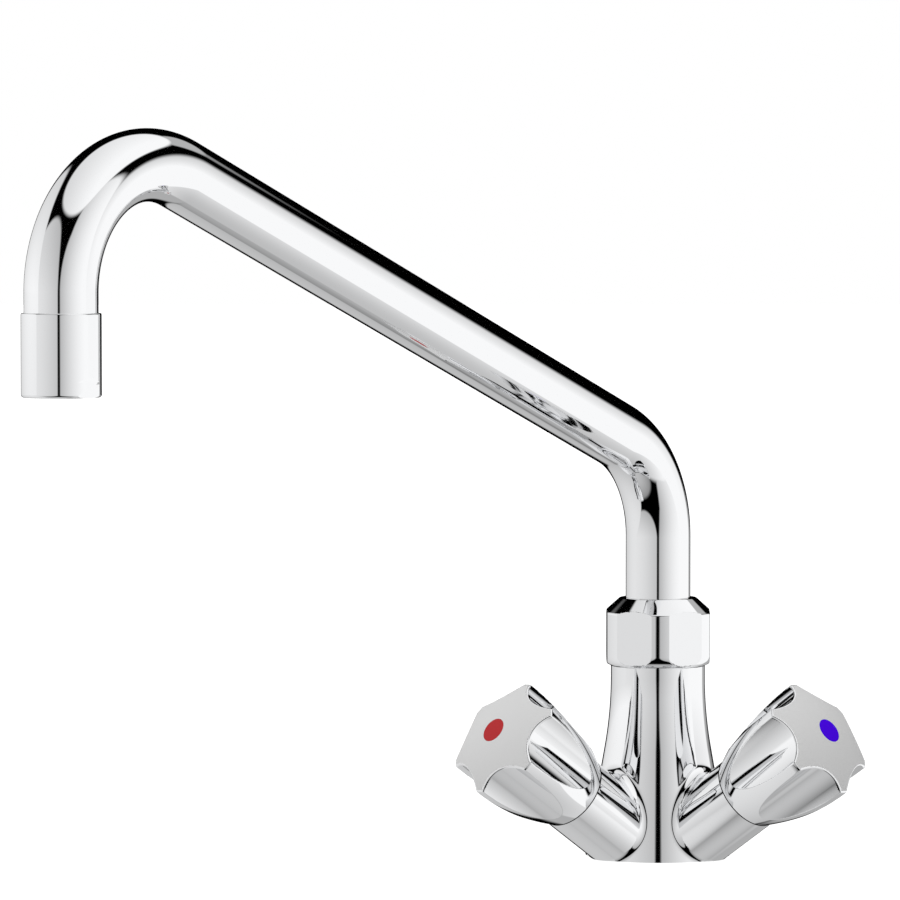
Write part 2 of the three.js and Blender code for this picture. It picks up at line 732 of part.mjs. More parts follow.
function aeratorScreen() {
  const hole = regularPolygon(4, SCREEN_HOLE, radians(SCREEN_TURN));
  const mesh = perforated(WASHER_HOLE - BORE_GAP, SCREEN_PITCH, hole);
  return prism(mesh, washerFoot, washerFoot + SCREEN_HEIGHT).translate([reach, 0, 0]);
}

// ---------------------------------------------------------------- headwork, along an arm

const sealFoot = VALVE_SEAT + SEAT_GAP;
const cageFoot = sealFoot + SEAT_SEAL_PROUD;
const cageTop = cageFoot + CAGE_LENGTH;
const fixedFoot = sealFoot + SEAT_SEAL_HEIGHT + SEAT_GAP;
const movingFoot = fixedFoot + FIXED_DISC_HEIGHT + SEAT_GAP;
const spindleFoot = movingFoot + MOVING_DISC_HEIGHT + SEAT_GAP;
const cageRoof = spindleFoot + SPINDLE_FLANGE + SEAT_GAP;
const hexFoot = ARM_LENGTH + SEAT_GAP;
const hexTop = hexFoot + HEX_HEIGHT;
const neckTop = hexTop + NECK_HEIGHT;
const clipFoot = neckTop + SEAT_GAP;
const clipTop = clipFoot + CLIP_THICKNESS;
const splineFoot = clipTop + SEAT_GAP;
const spindleTop = splineFoot + SPLINE_LENGTH;
const cageBore = CAGE_RADIUS - CAGE_WALL;
const threadRadius = HEADWORK_BORE - BORE_GAP;

function headwork() {
  const grooveTop = hexFoot - THREAD_LIP;
  const grooveFoot = grooveTop - GROOVE_WIDTH;
  const spindleBore = SPINDLE_RADIUS + BORE_GAP;
  const hexCorner = HEX_ACROSS_FLATS / 2 / Math.cos(Math.PI / 6);
  const turned = revolve([
    [cageBore, cageFoot],
    [CAGE_RADIUS, cageFoot],
    [CAGE_RADIUS, cageTop],
    [threadRadius, cageTop + CAGE_WALL],
    [threadRadius, grooveFoot],
    [threadRadius - GROOVE_DEPTH, grooveFoot],
    [threadRadius - GROOVE_DEPTH, grooveTop],
    [threadRadius, grooveTop],
    [threadRadius, hexFoot],
    [hexCorner, hexFoot],
    [hexCorner, hexFoot + HEX_FLANGE],
    [NECK_RADIUS, hexFoot + HEX_FLANGE],
    [NECK_RADIUS, neckTop],
    [spindleBore, neckTop],
    [spindleBore, cageRoof],
    [cageBore, cageRoof],
  ], SMALL_ROUND);
  const chamfered = revolve([
    [0, hexFoot],
    [hexCorner, hexFoot],
    [hexCorner, hexTop - (hexCorner - HEX_ACROSS_FLATS / 2)],
    [HEX_ACROSS_FLATS / 2, hexTop],
    [0, hexTop],
  ], SMALL_ROUND);
  const hexagonFoot = hexFoot + HEX_FLANGE / 2;
  const hexagon = prism(polygon(regularPolygon(6, HEX_ACROSS_FLATS)), hexagonFoot, hexTop);
  const throat = rod(NECK_RADIUS - BORE_GAP, hexFoot, hexTop + BEYOND, SMALL_ROUND);
  const collar = hexagon.intersect(chamfered).subtract(throat);
  const windowFoot = cageTop - WINDOW_HEIGHT;
  const windows = block(
    [-CAGE_RADIUS - BEYOND, -WINDOW_WIDTH / 2, windowFoot],
    [CAGE_RADIUS + BEYOND, WINDOW_WIDTH / 2, cageTop],
  );
  return turned.add(collar).subtract(windows);
}

function headworkORing() {
  const height = hexFoot - THREAD_LIP - GROOVE_WIDTH / 2;
  return torus(threadRadius - O_RING_SECTION, O_RING_SECTION, height);
}

function seatSeal() {
  const outer = cageBore - BORE_GAP;
  return revolve([
    [SEAT_SEAL_HOLE, sealFoot],
    [outer, sealFoot],
    [outer, sealFoot + SEAT_SEAL_HEIGHT],
    [SEAT_SEAL_HOLE, sealFoot + SEAT_SEAL_HEIGHT],
  ], SMALL_ROUND);
}

// Outline of the half-moon port, centred on the angle given.
function halfMoon(inner, outer, middle) {
  const half = radians(DISC_PORT_ANGLE / 2);
  const steps = SMALL_ROUND / 2;
  return polygon([
    ...arc(0, 0, outer, outer, middle - half, middle + half, steps),
    ...arc(0, 0, inner, inner, middle + half, middle - half, steps / 2),
  ]);
}

function fixedDisc() {
  const radius = cageBore - BORE_GAP;
  const port = halfMoon(DISC_PORT_INNER, DISC_PORT_OUTER, -Math.PI / 2);
  const cut = prism(port, fixedFoot - BEYOND, movingFoot + BEYOND);
  return rod(radius, fixedFoot, fixedFoot + FIXED_DISC_HEIGHT, SMALL_ROUND).subtract(cut);
}

function movingDisc() {
  const radius = cageBore - BORE_GAP;
  const top = movingFoot + MOVING_DISC_HEIGHT;
  const port = halfMoon(DISC_PORT_INNER, radius + BEYOND, Math.PI / 2);
  const slotHalf = TONGUE_WIDTH / 2 + BORE_GAP;
  const slotFloor = top - TONGUE_HEIGHT;
  const slot = block([-radius - BEYOND, -slotHalf, slotFloor], [radius + BEYOND, slotHalf, top + BEYOND]);
  return rod(radius, movingFoot, top, SMALL_ROUND)
    .subtract(prism(port, movingFoot - BEYOND, top + BEYOND))
    .subtract(slot);
}

// ---------------------------------------------------------------- spindle

function splineOutline(grow) {
  const points = [];
  const step = (2 * Math.PI) / SPLINE_TEETH;
  for (let i = 0; i < SPLINE_TEETH; i += 1) {
    for (const [part, radius] of [[0.25, SPLINE_TIP], [0.75, SPLINE_ROOT]]) {
      const angle = (i + part) * step;
      points.push([(radius + grow) * Math.cos(angle), (radius + grow) * Math.sin(angle)]);
    }
  }
  return polygon(points);
}

function spindle() {
  const root = SPINDLE_RADIUS - SPINDLE_GROOVE_DEPTH;
  const grooves = [];
  for (const drop of [...SPINDLE_O_RING_DROPS].reverse()) {
    const low = neckTop - drop - SPINDLE_GROOVE_DEPTH;
    const high = neckTop - drop + SPINDLE_GROOVE_DEPTH;
    grooves.push([SPINDLE_RADIUS, low], [root, low], [root, high], [SPINDLE_RADIUS, high]);
  }
  const clipRoot = SPINDLE_RADIUS - CLIP_GROOVE_DEPTH;
  const stem = revolve([
    [0, spindleFoot],
    [cageBore - BORE_GAP, spindleFoot],
    [cageBore - BORE_GAP, spindleFoot + SPINDLE_FLANGE],
    [SPINDLE_RADIUS, spindleFoot + SPINDLE_FLANGE],
    ...grooves,
    [SPINDLE_RADIUS, neckTop],
    [clipRoot, neckTop],
    [clipRoot, clipTop + SEAT_GAP / 2],
    [SPINDLE_RADIUS, clipTop + SEAT_GAP / 2],
    [SPINDLE_RADIUS, splineFoot + SEAT_GAP],
    [0, splineFoot + SEAT_GAP],
  ], SMALL_ROUND);
  const tongueHalf = cageBore - BORE_GAP - TONGUE_INSET;
  const tongue = block(
    [-tongueHalf, -TONGUE_WIDTH / 2, spindleFoot - TONGUE_HEIGHT],
    [tongueHalf, TONGUE_WIDTH / 2, spindleFoot + SPINDLE_FLANGE / 2],
  );
  const hole = rod(SCREW_RADIUS + BORE_GAP, spindleTop - SCREW_LENGTH, spindleTop + BEYOND,
    SMALL_ROUND);
  return stem.add(tongue).add(prism(splineOutline(0), splineFoot, spindleTop)).subtract(hole);
}

function spindleORing(drop) {
  const radius = SPINDLE_RADIUS - SPINDLE_O_RING_SECTION;
  return torus(radius, SPINDLE_O_RING_SECTION, neckTop - drop);
}

function spindleClip() {
  const inner = SPINDLE_RADIUS - CLIP_GROOVE_DEPTH + BORE_GAP;
  const half = radians(CLIP_OPENING / 2);
  const outline = polygon([
    ...arc(0, 0, CLIP_RADIUS, CLIP_RADIUS, half, 2 * Math.PI - half, SMALL_ROUND),
    ...arc(0, 0, inner, inner, 2 * Math.PI - half, half, SMALL_ROUND),
  ]);
  return prism(outline, clipFoot, clipTop);
}

// ---------------------------------------------------------------- knob

const skirtFoot = ARM_LENGTH + SKIRT_GAP;
const knobTop = skirtFoot + KNOB_HEIGHT;
const faceDrop = FACE_RADIUS - Math.sqrt(FACE_RADIUS ** 2 - KNOB_RADIUS ** 2);
const socketRoof = spindleTop + SEAT_GAP;
const screwSeat = socketRoof + SCREW_WEB;
const buttonFloor = knobTop - BUTTON_DEPTH;

// Points of the domed face between two distances from the axis, the outer one first.
function facePoints(outer, inner, steps) {
  const middle = knobTop - FACE_RADIUS;
  const from = Math.acos(outer / FACE_RADIUS);
  const to = Math.acos(inner / FACE_RADIUS);
  return arc(0, middle, FACE_RADIUS, FACE_RADIUS, from, to, steps);
}

function knob() {
  const barrel = new THREE.QuadraticBezierCurve(
    new THREE.Vector2(ARM_RADIUS, skirtFoot),
    new THREE.Vector2(BARREL_CONTROL_RADIUS, knobTop - BARREL_CONTROL_DEPTH),
    new THREE.Vector2(KNOB_RADIUS, knobTop - faceDrop),
  );
  const barrelPoints = barrel.getPoints(BARREL_STEPS).map((point) => [point.x, point.y]);
  const skirtBore = ARM_RADIUS - SKIRT_WALL;
  const roof = knobTop - KNOB_ROOF;
  const bossFoot = splineFoot + SEAT_GAP;
  const buttonHole = BUTTON_RADIUS + BUTTON_GAP;
  const headHole = SCREW_HEAD_RADIUS + BORE_GAP;
  const screwHole = SCREW_RADIUS + BORE_GAP;
  const outside = revolve([
    [0, skirtFoot],
    ...barrelPoints,
    ...facePoints(KNOB_RADIUS, 0, FACE_STEPS).slice(1),
  ]);
  // Room for the headwork round the boss
  const hollow = revolve([
    [0, skirtFoot - BEYOND],
    [skirtBore, skirtFoot - BEYOND],
    [skirtBore, roof],
    [BOSS_RADIUS, roof],
    [BOSS_RADIUS, bossFoot],
    [0, bossFoot],
  ], SMALL_ROUND);
  const screwWay = revolve([
    [0, bossFoot],
    [screwHole, bossFoot],
    [screwHole, screwSeat],
    [headHole, screwSeat],
    [headHole, buttonFloor + BEYOND],
    [0, buttonFloor + BEYOND],
  ], SMALL_ROUND);
  const buttonWay = rod(buttonHole, buttonFloor, knobTop + BEYOND, BUTTON_SIDES);
  let body = outside.subtract(hollow).subtract(screwWay).subtract(buttonWay);
  body = body.subtract(prism(splineOutline(SPLINE_GAP), bossFoot - BEYOND, socketRoof));
  for (let i = 0; i < LOBES; i += 1) {
    const angle = ((i + 0.5) * 2 * Math.PI) / LOBES;
    const middle = SCALLOP_FLOOR + SCALLOP_RADIUS;
    const cutter = rod(SCALLOP_RADIUS, skirtFoot - BEYOND, knobTop + BEYOND, SCALLOP_SIDES);
    body = body.subtract(cutter.translate([middle * Math.sin(angle), middle * Math.cos(angle), 0]));
  }
  return body;
}

function indexButton() {
  return revolve([
    [0, buttonFloor + SEAT_GAP],
    [BUTTON_RADIUS, buttonFloor + SEAT_GAP],
    ...facePoints(BUTTON_RADIUS, 0, 2),
  ], BUTTON_SIDES);
}

function knobScrew() {
  const headFoot = screwSeat + SEAT_GAP;
  const headTop = headFoot + SCREW_HEAD_HEIGHT;
  const body = revolve([
    [0, headFoot - SCREW_LENGTH],
    [SCREW_RADIUS, headFoot - SCREW_LENGTH],
    [SCREW_RADIUS, headFoot],
    [SCREW_HEAD_RADIUS, headFoot],
    [SCREW_HEAD_RADIUS, headTop],
    [0, headTop],
  ], SMALL_ROUND);
  const wide = SCREW_HEAD_RADIUS + BEYOND;
  const half = SCREW_SLOT / 2;
  return body.subtract(block([-wide, -half, headTop - SCREW_SLOT], [wide, half, headTop + BEYOND]));
}

// ---------------------------------------------------------------- assembly

function spoutAssembly() {
  const group = new THREE.Group();
  group.rotation.z = radians(-90 - SPOUT_SWING);
  const [low, high] = SPOUT_O_RING_HEIGHTS;
  group.add(
    piece('spout_tube', spoutTube(), chrome),
    piece('spout_tailpiece', spoutTailpiece(), brass),
    piece('lower_spout_o_ring', spoutORing(low), rubber),
    piece('upper_spout_o_ring', spoutORing(high), rubber),
    piece('spout_slide_ring', slideRing(), acetal),
    piece('aerator_housing', aeratorHousing(), chrome),
    piece('aerator_insert', aeratorInsert(), acetal),
    piece('aerator_washer', aeratorWasher(), rubber),
    piece('aerator_screen', aeratorScreen(), steel),
  );
  return group;
}

function valveAssembly(name, side, indexFinish) {
  const [outer, inner] = SPINDLE_O_RING_DROPS;
  const group = new THREE.Group();
  group.applyMatrix4(armFrame(side));
  group.add(
    piece(`${name}_headwork`, headwork(), brass),
    piece(`${name}_headwork_o_ring`, headworkORing(), rubber),
    piece(`${name}_seat_seal`, seatSeal(), rubber),
    piece(`${name}_fixed_disc`, fixedDisc(), ceramic),
    piece(`${name}_moving_disc`, movingDisc(), ceramic),
    piece(`${name}_spindle`, spindle(), brass),
    piece(`${name}_outer_spindle_o_ring`, spindleORing(outer), rubber),
    piece(`${name}_inner_spindle_o_ring`, spindleORing(inner), rubber),
    piece(`${name}_spindle_clip`, spindleClip(), steel),
  );
  const turning = new THREE.Group();
  turning.rotation.z = -side * radians(KNOB_CLOCK);
  turning.add(
    piece(`${name}_knob`, knob(), chrome),
    piece(`${name}_knob_screw`, knobScrew(), steel),
    piece(`${name}_index_button`, indexButton(), indexFinish),
  );
  group.add(turning);
  return group;
}

const tap = new THREE.Group();
tap.add(
  piece('mixer_body', mixerBody(), chrome),
  piece('base_seal', baseSeal(), rubber),
  piece('spout_nut', unionNut(), chrome),
  spoutAssembly(),
  valveAssembly('hot', -1, hotRed),
  valveAssembly('cold', 1, coldBlue),
);

export default tap;
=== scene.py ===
import json
import math

import bmesh
import bpy
import numpy as np
from mathutils import Matrix, Vector

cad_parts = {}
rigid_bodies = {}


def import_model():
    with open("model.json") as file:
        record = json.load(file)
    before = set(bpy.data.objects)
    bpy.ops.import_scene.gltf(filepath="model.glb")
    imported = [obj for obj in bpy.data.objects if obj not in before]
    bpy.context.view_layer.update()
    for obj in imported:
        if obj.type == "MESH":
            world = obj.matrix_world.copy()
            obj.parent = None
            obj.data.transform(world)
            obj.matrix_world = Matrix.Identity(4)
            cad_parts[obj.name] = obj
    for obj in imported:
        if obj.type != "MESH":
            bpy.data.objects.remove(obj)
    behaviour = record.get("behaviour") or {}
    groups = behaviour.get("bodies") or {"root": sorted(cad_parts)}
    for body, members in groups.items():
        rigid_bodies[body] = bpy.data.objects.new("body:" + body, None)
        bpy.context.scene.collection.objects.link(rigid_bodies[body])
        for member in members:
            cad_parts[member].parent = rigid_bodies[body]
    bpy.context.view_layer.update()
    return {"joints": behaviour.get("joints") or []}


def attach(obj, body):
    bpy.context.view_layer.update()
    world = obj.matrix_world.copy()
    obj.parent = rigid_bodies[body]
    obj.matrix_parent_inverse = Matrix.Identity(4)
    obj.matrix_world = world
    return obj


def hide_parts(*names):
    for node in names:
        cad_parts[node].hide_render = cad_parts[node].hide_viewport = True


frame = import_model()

# Two handle kitchen mixer tap. A flared column stands on the deck, a bent tube spout swivels
# under a union nut, and a lobed knob sits on each of two short arms, hot left and cold right.
# Pieces are drawn in millimetres in a handy frame of their own and then placed in the frame's
# metres by a matrix, so that every object itself stays at the origin.

scene = bpy.context.scene
scene.view_settings.view_transform = "Standard"
radians = math.radians

# ---------------------------------------------------------------- camera
# A long lens 1.7 m away, a little above the outlet and nearly level, so that verticals stay
# upright and the long spout hardly tapers.

view = bpy.data.objects.new("camera", bpy.data.cameras.new("camera"))
view.data.sensor_width = 36
view.data.lens = 200.65
view.location = (-0.04195, -1.70465, 0.2138)
view.rotation_euler = (radians(90 - 2.55), 0, radians(0.97))
scene.collection.objects.link(view)
scene.camera = view

# ---------------------------------------------------------------- studio
# Bright plating shows nothing but its surroundings, so the tap stands among big round
# softboxes with unlit gaps between them. The wall behind it and the floor are plain white.


class Wire:
    """An output of a shader node, or none yet, with maths that adds the nodes it stands for."""

    def __init__(self, tree, output=None):
        self.tree = tree
        self.output = output

    def node(self, kind, sockets=(), output=0, **settings):
        """Any node: its settings first, then the values or links of its sockets."""
        made = self.tree.nodes.new(kind)
        for name, value in settings.items():
            setattr(made, name, value)
        for key, value in dict(sockets).items():
            if isinstance(value, Wire):
                self.tree.links.new(value.output, made.inputs[key])
            else:
                made.inputs[key].default_value = value
        return Wire(self.tree, made.outputs[output] if made.outputs else None)

    def maths(self, operation, *terms):
        return self.node("ShaderNodeMath", enumerate(terms), operation=operation)

    def __add__(self, other):
        return self.maths("ADD", self, other)

    def __radd__(self, other):
        return self.maths("ADD", other, self)

    def __sub__(self, other):
        return self.maths("SUBTRACT", self, other)

    def __rsub__(self, other):
        return self.maths("SUBTRACT", other, self)

    def __mul__(self, other):
        return self.maths("MULTIPLY", self, other)

    def __rmul__(self, other):
        return self.maths("MULTIPLY", other, self)


def heading(azimuth, elevation):
    """Unit vector: azimuth from the front (-Y) towards the right (+X), in degrees."""
    flat = math.cos(radians(elevation))
    return Vector((
        math.sin(radians(azimuth)) * flat,
        -math.cos(radians(azimuth)) * flat,
        math.sin(radians(elevation)),
    ))


# Each softbox: where it hangs (azimuth, elevation), its half width and the width over which its
# rim fades, both in degrees, its brightness, and how much that grows to the right, upwards and
# away from the horizon.
SOFTBOXES = {
    "overhead": ((80, 78.8), 43.6, 2, 0.925, 0.29, 0.0, 0.0),
    "high_back": ((138, 37), 12, 2, 0.50, 0.0, 0.0, 0.0),
    "left": ((-113, 0), 45, 2, 0.60, -0.45, 1.15, -1.35),
    "front_left": ((-47.5, 4), 42.5, 2, 0.60, -0.29, 0.08, -0.33),
    "front_right": ((49, 0), 41, 2, 0.52, 0.585, 0.1, -0.28),
    "front_edge": ((35.5, 0), 33.5, 2, 0.52, 0.585, 0.1, -0.28),
    "right": ((108, -12), 32, 4, 1.04, 0.0, -1.0, 0.0),
    "right_back": ((134, -34), 36, 3, 0.46, 0.0, 0.0, 0.0),
    "low_left": ((-118, -38), 45.5, 2, 0.47, -0.40, -0.08, 0.0),
    "low_right": ((102, -45), 35, 4, 1.42, 0.0, 0.92, 0.0),
    "below": ((0, -90), 35.5, 3, -1.12, 0.0, -1.7, 0.0),
}
BRIGHTEST = 1.08  # no softbox is brighter anywhere
SOFT_LIGHT = 1.02  # what matt surfaces are lit by, from all round
SOFT_LIGHT_LEFT = 0.27  # and how much more of it comes from the left

world = bpy.data.worlds.new("studio")
scene.world = world
world.use_nodes = True
world.node_tree.nodes.clear()
sky = Wire(world.node_tree)
looking = sky.node("ShaderNodeTexCoord", output="Generated")


def towards(direction):
    """How nearly the light comes from a direction: 1 straight from it, 0 square to it."""
    return sky.node("ShaderNodeVectorMath", {0: looking, 1: direction}, "Value",
                    operation="DOT_PRODUCT")


rightwards = towards((1, 0, 0))
upwards = towards((0, 0, 1))
aside = sky.maths("ABSOLUTE", upwards)
glow = sky.node("ShaderNodeValue")
glow.output.default_value = 0
for place, half, fade, brightness, to_right, to_top, to_both in SOFTBOXES.values():
    rim = {
        "Value": towards(heading(*place)),
        "From Min": math.cos(radians(half + fade)),
        "From Max": math.cos(radians(half - fade)),
    }
    inside = sky.node("ShaderNodeMapRange", rim, interpolation_type="SMOOTHSTEP")
    lit = inside * (brightness + rightwards * to_right + upwards * to_top + aside * to_both)
    glow = sky.maths("MAXIMUM", glow, lit)
glow = sky.maths("MINIMUM", glow, BRIGHTEST)
seen = sky.node("ShaderNodeLightPath", output="Is Camera Ray")
mirrored = sky.node("ShaderNodeLightPath", output="Is Glossy Ray")
soft = (1 - seen - mirrored) * (SOFT_LIGHT - rightwards * SOFT_LIGHT_LEFT)
backdrop = sky.node("ShaderNodeBackground",
                    {"Color": seen + mirrored * glow + soft, "Strength": 1.0})
sky.node("ShaderNodeOutputWorld", {"Surface": backdrop})


def material(name):
    """A new empty material and its first wire."""
    made = bpy.data.materials.new(name)
    made.use_nodes = True
    made.node_tree.nodes.clear()
    return made, Wire(made.node_tree)


FLOOR_HALF = 12.0  # metres
FLOOR_GLOW = 0.9  # what the camera sees of it, apart from the light that falls on it
FLOOR_GREY = 0.3

floor_paint, paint = material("floor_paint")
seen = paint.node("ShaderNodeLightPath", output="Is Camera Ray")
white = paint.node("ShaderNodeEmission", {"Color": (1, 1, 1, 1), "Strength": seen * FLOOR_GLOW})
matt = paint.node("ShaderNodeBsdfDiffuse", {"Color": (FLOOR_GREY, FLOOR_GREY, FLOOR_GREY, 1)})
both = paint.node("ShaderNodeAddShader", {0: white, 1: matt})
paint.node("ShaderNodeOutputMaterial", {"Surface": both})

bm = bmesh.new()
bmesh.ops.create_grid(bm, x_segments=1, y_segments=1, size=FLOOR_HALF)
floor_mesh = bpy.data.meshes.new("floor")
bm.to_mesh(floor_mesh)
bm.free()
floor = bpy.data.objects.new("floor", floor_mesh)
floor_mesh.materials.append(floor_paint)
floor.visible_glossy = False
scene.collection.objects.link(floor)

# ---------------------------------------------------------------- mixer body
# One brass casting, machined, polished and chromed: the flared column with its threaded
# spigot and two arms that take the valves. Two hose inlets, a stud hole and the seal's groove
# are cut in its underside. The deck stud pulls it down.

BASE_RADIUS = 24.6
COLUMN_RADIUS = 16
FLARE_TOP = 61
FLARE_ANGLE = radians(10)
SHOULDER = 64.6
SPIGOT_RADIUS = 13.1
SPIGOT_TOP = 80.1
SPIGOT_CHAMFER = 0.8
SPIGOT_ROOT = 3  # how deep it is drawn into the shoulder
ARM_RADIUS = 13.2
ARM_LENGTH = 47.2  # along the arm, from the column's axis to the end face
ARM_FILLET = 3.5
BODY_GRAIN = 0.55  # width of a face of the skin
PAST_END = 6  # the casting is drawn this far past the faces that it is cut off at
PAST_CUT = 2  # and a cutter this far past the face that it opens
SMALL_ROUND = 48  # sides of the small bores

# Waterways and holes. Those along an arm are measured from the column's axis.
SOCKET_RADIUS = 10  # takes the spout's tailpiece
SOCKET_FLOOR = 65.1
MIXING_RADIUS = 8
MIXING_FLOOR = 24
VALVE_SEAT = 30
CHAMBER_RADIUS = 9.6
CHAMBER_LENGTH = 8.5
HEADWORK_BORE = 10.5
FEED_RADIUS = 3.2  # from the inlet to the valve seat
FEED_START = 13.9
OUTFLOW_RADIUS = 2.8  # from the chamber to the mixing bore
OUTFLOW_LIFT = 4.3  # above the arm's axis
OUTFLOW_START = 5.1  # beyond the valve seat
INLET_RADIUS = 4.5
INLET_DEPTH = 11
INLET_OFFSET = 11.5  # from the column's axis, below each arm
STUD_HOLE_RADIUS = 3.4
STUD_HOLE_DEPTH = 14
STUD_HOLE_OFFSET = 12  # behind the column's axis
SEAL_GROOVE_INNER = 19
SEAL_GROOVE_OUTER = 21.6
SEAL_GROOVE_DEPTH = 1.8

hinges = {joint["name"]: joint for joint in frame["joints"]}
flare_radius = (FLARE_TOP * math.tan(FLARE_ANGLE) - (BASE_RADIUS - COLUMN_RADIUS)) / (
    math.sin(FLARE_ANGLE) * math.tan(FLARE_ANGLE) - (1 - math.cos(FLARE_ANGLE)))
flare_centre = COLUMN_RADIUS + flare_radius


def arm_frame(side):
    """Millimetres along an arm (Z) and across it, as millimetres in the tap's frame."""
    hinge = hinges[side + "_turn"]
    along = Vector(hinge["axis"]).normalized()
    across = Vector((0, 0, 1)).cross(along).normalized()
    turn = Matrix((across, along.cross(across), along)).transposed().to_4x4()
    return Matrix.Translation(Vector(hinge["pos_m"]) * 1000) @ turn


TO_METRES = Matrix.Scale(0.001, 4)
ARMS = {side: arm_frame(side) for side in ("hot", "cold")}


def turned(profile, steps=128):
    """A turned solid: [radius, height] points spun about Z, closed on the axis or in a ring."""
    bm = bmesh.new()
    points = [bm.verts.new((radius, 0, height)) for radius, height in profile]
    ring = [] if profile[0][0] == profile[-1][0] == 0 else points[:1]
    chain = points + ring
    edges = [bm.edges.new(pair) for pair in zip(chain, chain[1:])]
    bmesh.ops.spin(bm, geom=points + edges, cent=(0, 0, 0), axis=(0, 0, 1),
                   angle=math.tau, steps=steps, use_merge=True)
    bmesh.ops.remove_doubles(bm, verts=bm.verts, dist=1e-4)
    bmesh.ops.recalc_face_normals(bm, faces=bm.faces)
    return bm


def rod(radius, low, high, steps=96):
    return turned([(0, low), (radius, low), (radius, high), (0, high)], steps)


def placed(bm, matrix):
    bmesh.ops.transform(bm, matrix=matrix, verts=bm.verts)
    return bm


def held(bm, name="blank"):
    """A passing object for the modifiers to work on."""
    mesh = bpy.data.meshes.new(name)
    bm.to_mesh(mesh)
    bm.free()
    blank = bpy.data.objects.new(name, mesh)
    scene.collection.objects.link(blank)
    return blank


def worked(blank, *helpers):
    """What the blank's modifiers make of it. The blank and its helpers are cleared away."""
    shown = blank.evaluated_get(bpy.context.evaluated_depsgraph_get())
    mesh = bpy.data.meshes.new_from_object(shown)
    bm = bmesh.new()
    bm.from_mesh(mesh)
    bpy.data.meshes.remove(mesh)
    for used in (blank, *helpers):
        bpy.data.meshes.remove(used.data)
    return bm


def joined(bm, tools, operation="UNION"):
    """A solid with the tools joined to it, or cut from it."""
    blank = held(bm)
    helpers = [held(tool, "tool") for tool in tools]
    for helper in helpers:
        modifier = blank.modifiers.new("join", "BOOLEAN")
        modifier.operation = operation
        modifier.solver = "EXACT"
        modifier.object = helper
    return worked(blank, *helpers)


def remeshed(bm, grain):
    """The same solid in even faces."""
    blank = held(bm)
    modifier = blank.modifiers.new("even", "REMESH")
    modifier.mode = "VOXEL"
    modifier.voxel_size = grain
    return worked(blank)


def settled(bm, surface, near=5):
    """Evens the faces out and lays the points that are near the surface on it."""
    for turn, rounds in enumerate((1, 1, 3)):
        if turn:
            bmesh.ops.smooth_vert(bm, verts=bm.verts, factor=0.5,
                                  use_axis_x=True, use_axis_y=True, use_axis_z=True)
        points = np.array([vert.co for vert in bm.verts])
        for _ in range(rounds):
            off, out = surface(points)
            off[np.abs(off) > near] = 0
            points = points - off[:, None] * out
        for vert, point in zip(bm.verts, points):
            vert.co = point
    return bm


def trimmed(bm, point, out, reach):
    """Cuts off what lies past a plane, within reach of the point, and closes the cut with a fan."""
    hub, out = Vector(point), Vector(out)
    faces = [face for face in bm.faces
             if (face.calc_center_median() - hub).cross(out).length < reach]
    edges = {edge for face in faces for edge in face.edges}
    verts = {vert for face in faces for vert in face.verts}
    cut = bmesh.ops.bisect_plane(bm, geom=[*verts, *edges, *faces], dist=1e-5,
                                 plane_co=hub, plane_no=out, clear_outer=True)
    middle = bm.verts.new(hub)
    for part in cut["geom_cut"]:
        if isinstance(part, bmesh.types.BMEdge):
            bm.faces.new((*part.verts, middle))
    bmesh.ops.recalc_face_normals(bm, faces=bm.faces)
    return bm


def off_column(points):
    """Distance out from the column's surface, and the way out."""
    reach = np.hypot(points[:, 0], points[:, 1])
    below = FLARE_TOP - points[:, 2]
    lean = np.clip(np.arctan2(below, flare_centre - reach), 0, FLARE_ANGLE)
    off = np.where(lean > 0, flare_radius - np.hypot(below, flare_centre - reach),
                   reach - COLUMN_RADIUS)
    foot = (reach - BASE_RADIUS + points[:, 2] * math.tan(FLARE_ANGLE)) * math.cos(FLARE_ANGLE)
    off = np.where(lean >= FLARE_ANGLE, foot, off)
    flat = np.cos(lean) / np.maximum(reach, 1e-9)
    out = np.stack([points[:, 0] * flat, points[:, 1] * flat, np.sin(lean)], 1)
    return off, out


def off_arm(points, arm):
    """The same for an arm, which starts at the column's axis and has no end."""
    along = np.array(arm.col[2])[:3]
    from_start = points - np.array(arm.col[3])[:3]
    ahead = from_start @ along
    across = from_start - np.outer(ahead, along)
    reach = np.linalg.norm(across, axis=1)
    off = np.where(ahead > 0, reach - ARM_RADIUS, np.inf)
    return off, across / np.maximum(reach, 1e-9)[:, None]


def ball_path(arm, stops=480, halvings=40):
    """Centres of a ball that rolls round the arm while it touches the column."""
    angles = np.linspace(0, math.tau, stops, endpoint=False)
    ring = np.stack([np.cos(angles), np.sin(angles), np.zeros(stops)], 1)
    turn = np.array(arm.to_3x3())
    start = ring @ turn.T * (ARM_RADIUS + ARM_FILLET) + np.array(arm.col[3])[:3]
    near = np.zeros(stops)
    far = np.full(stops, 2.0 * ARM_LENGTH)
    for _ in range(halvings):
        middle = (near + far) / 2
        off, _ = off_column(start + middle[:, None] * turn[:, 2])
        near = np.where(off < ARM_FILLET, middle, near)
        far = np.where(off < ARM_FILLET, far, middle)
    return start + far[:, None] * turn[:, 2]


BALL_PATHS = {side: ball_path(arm) for side, arm in ARMS.items()}


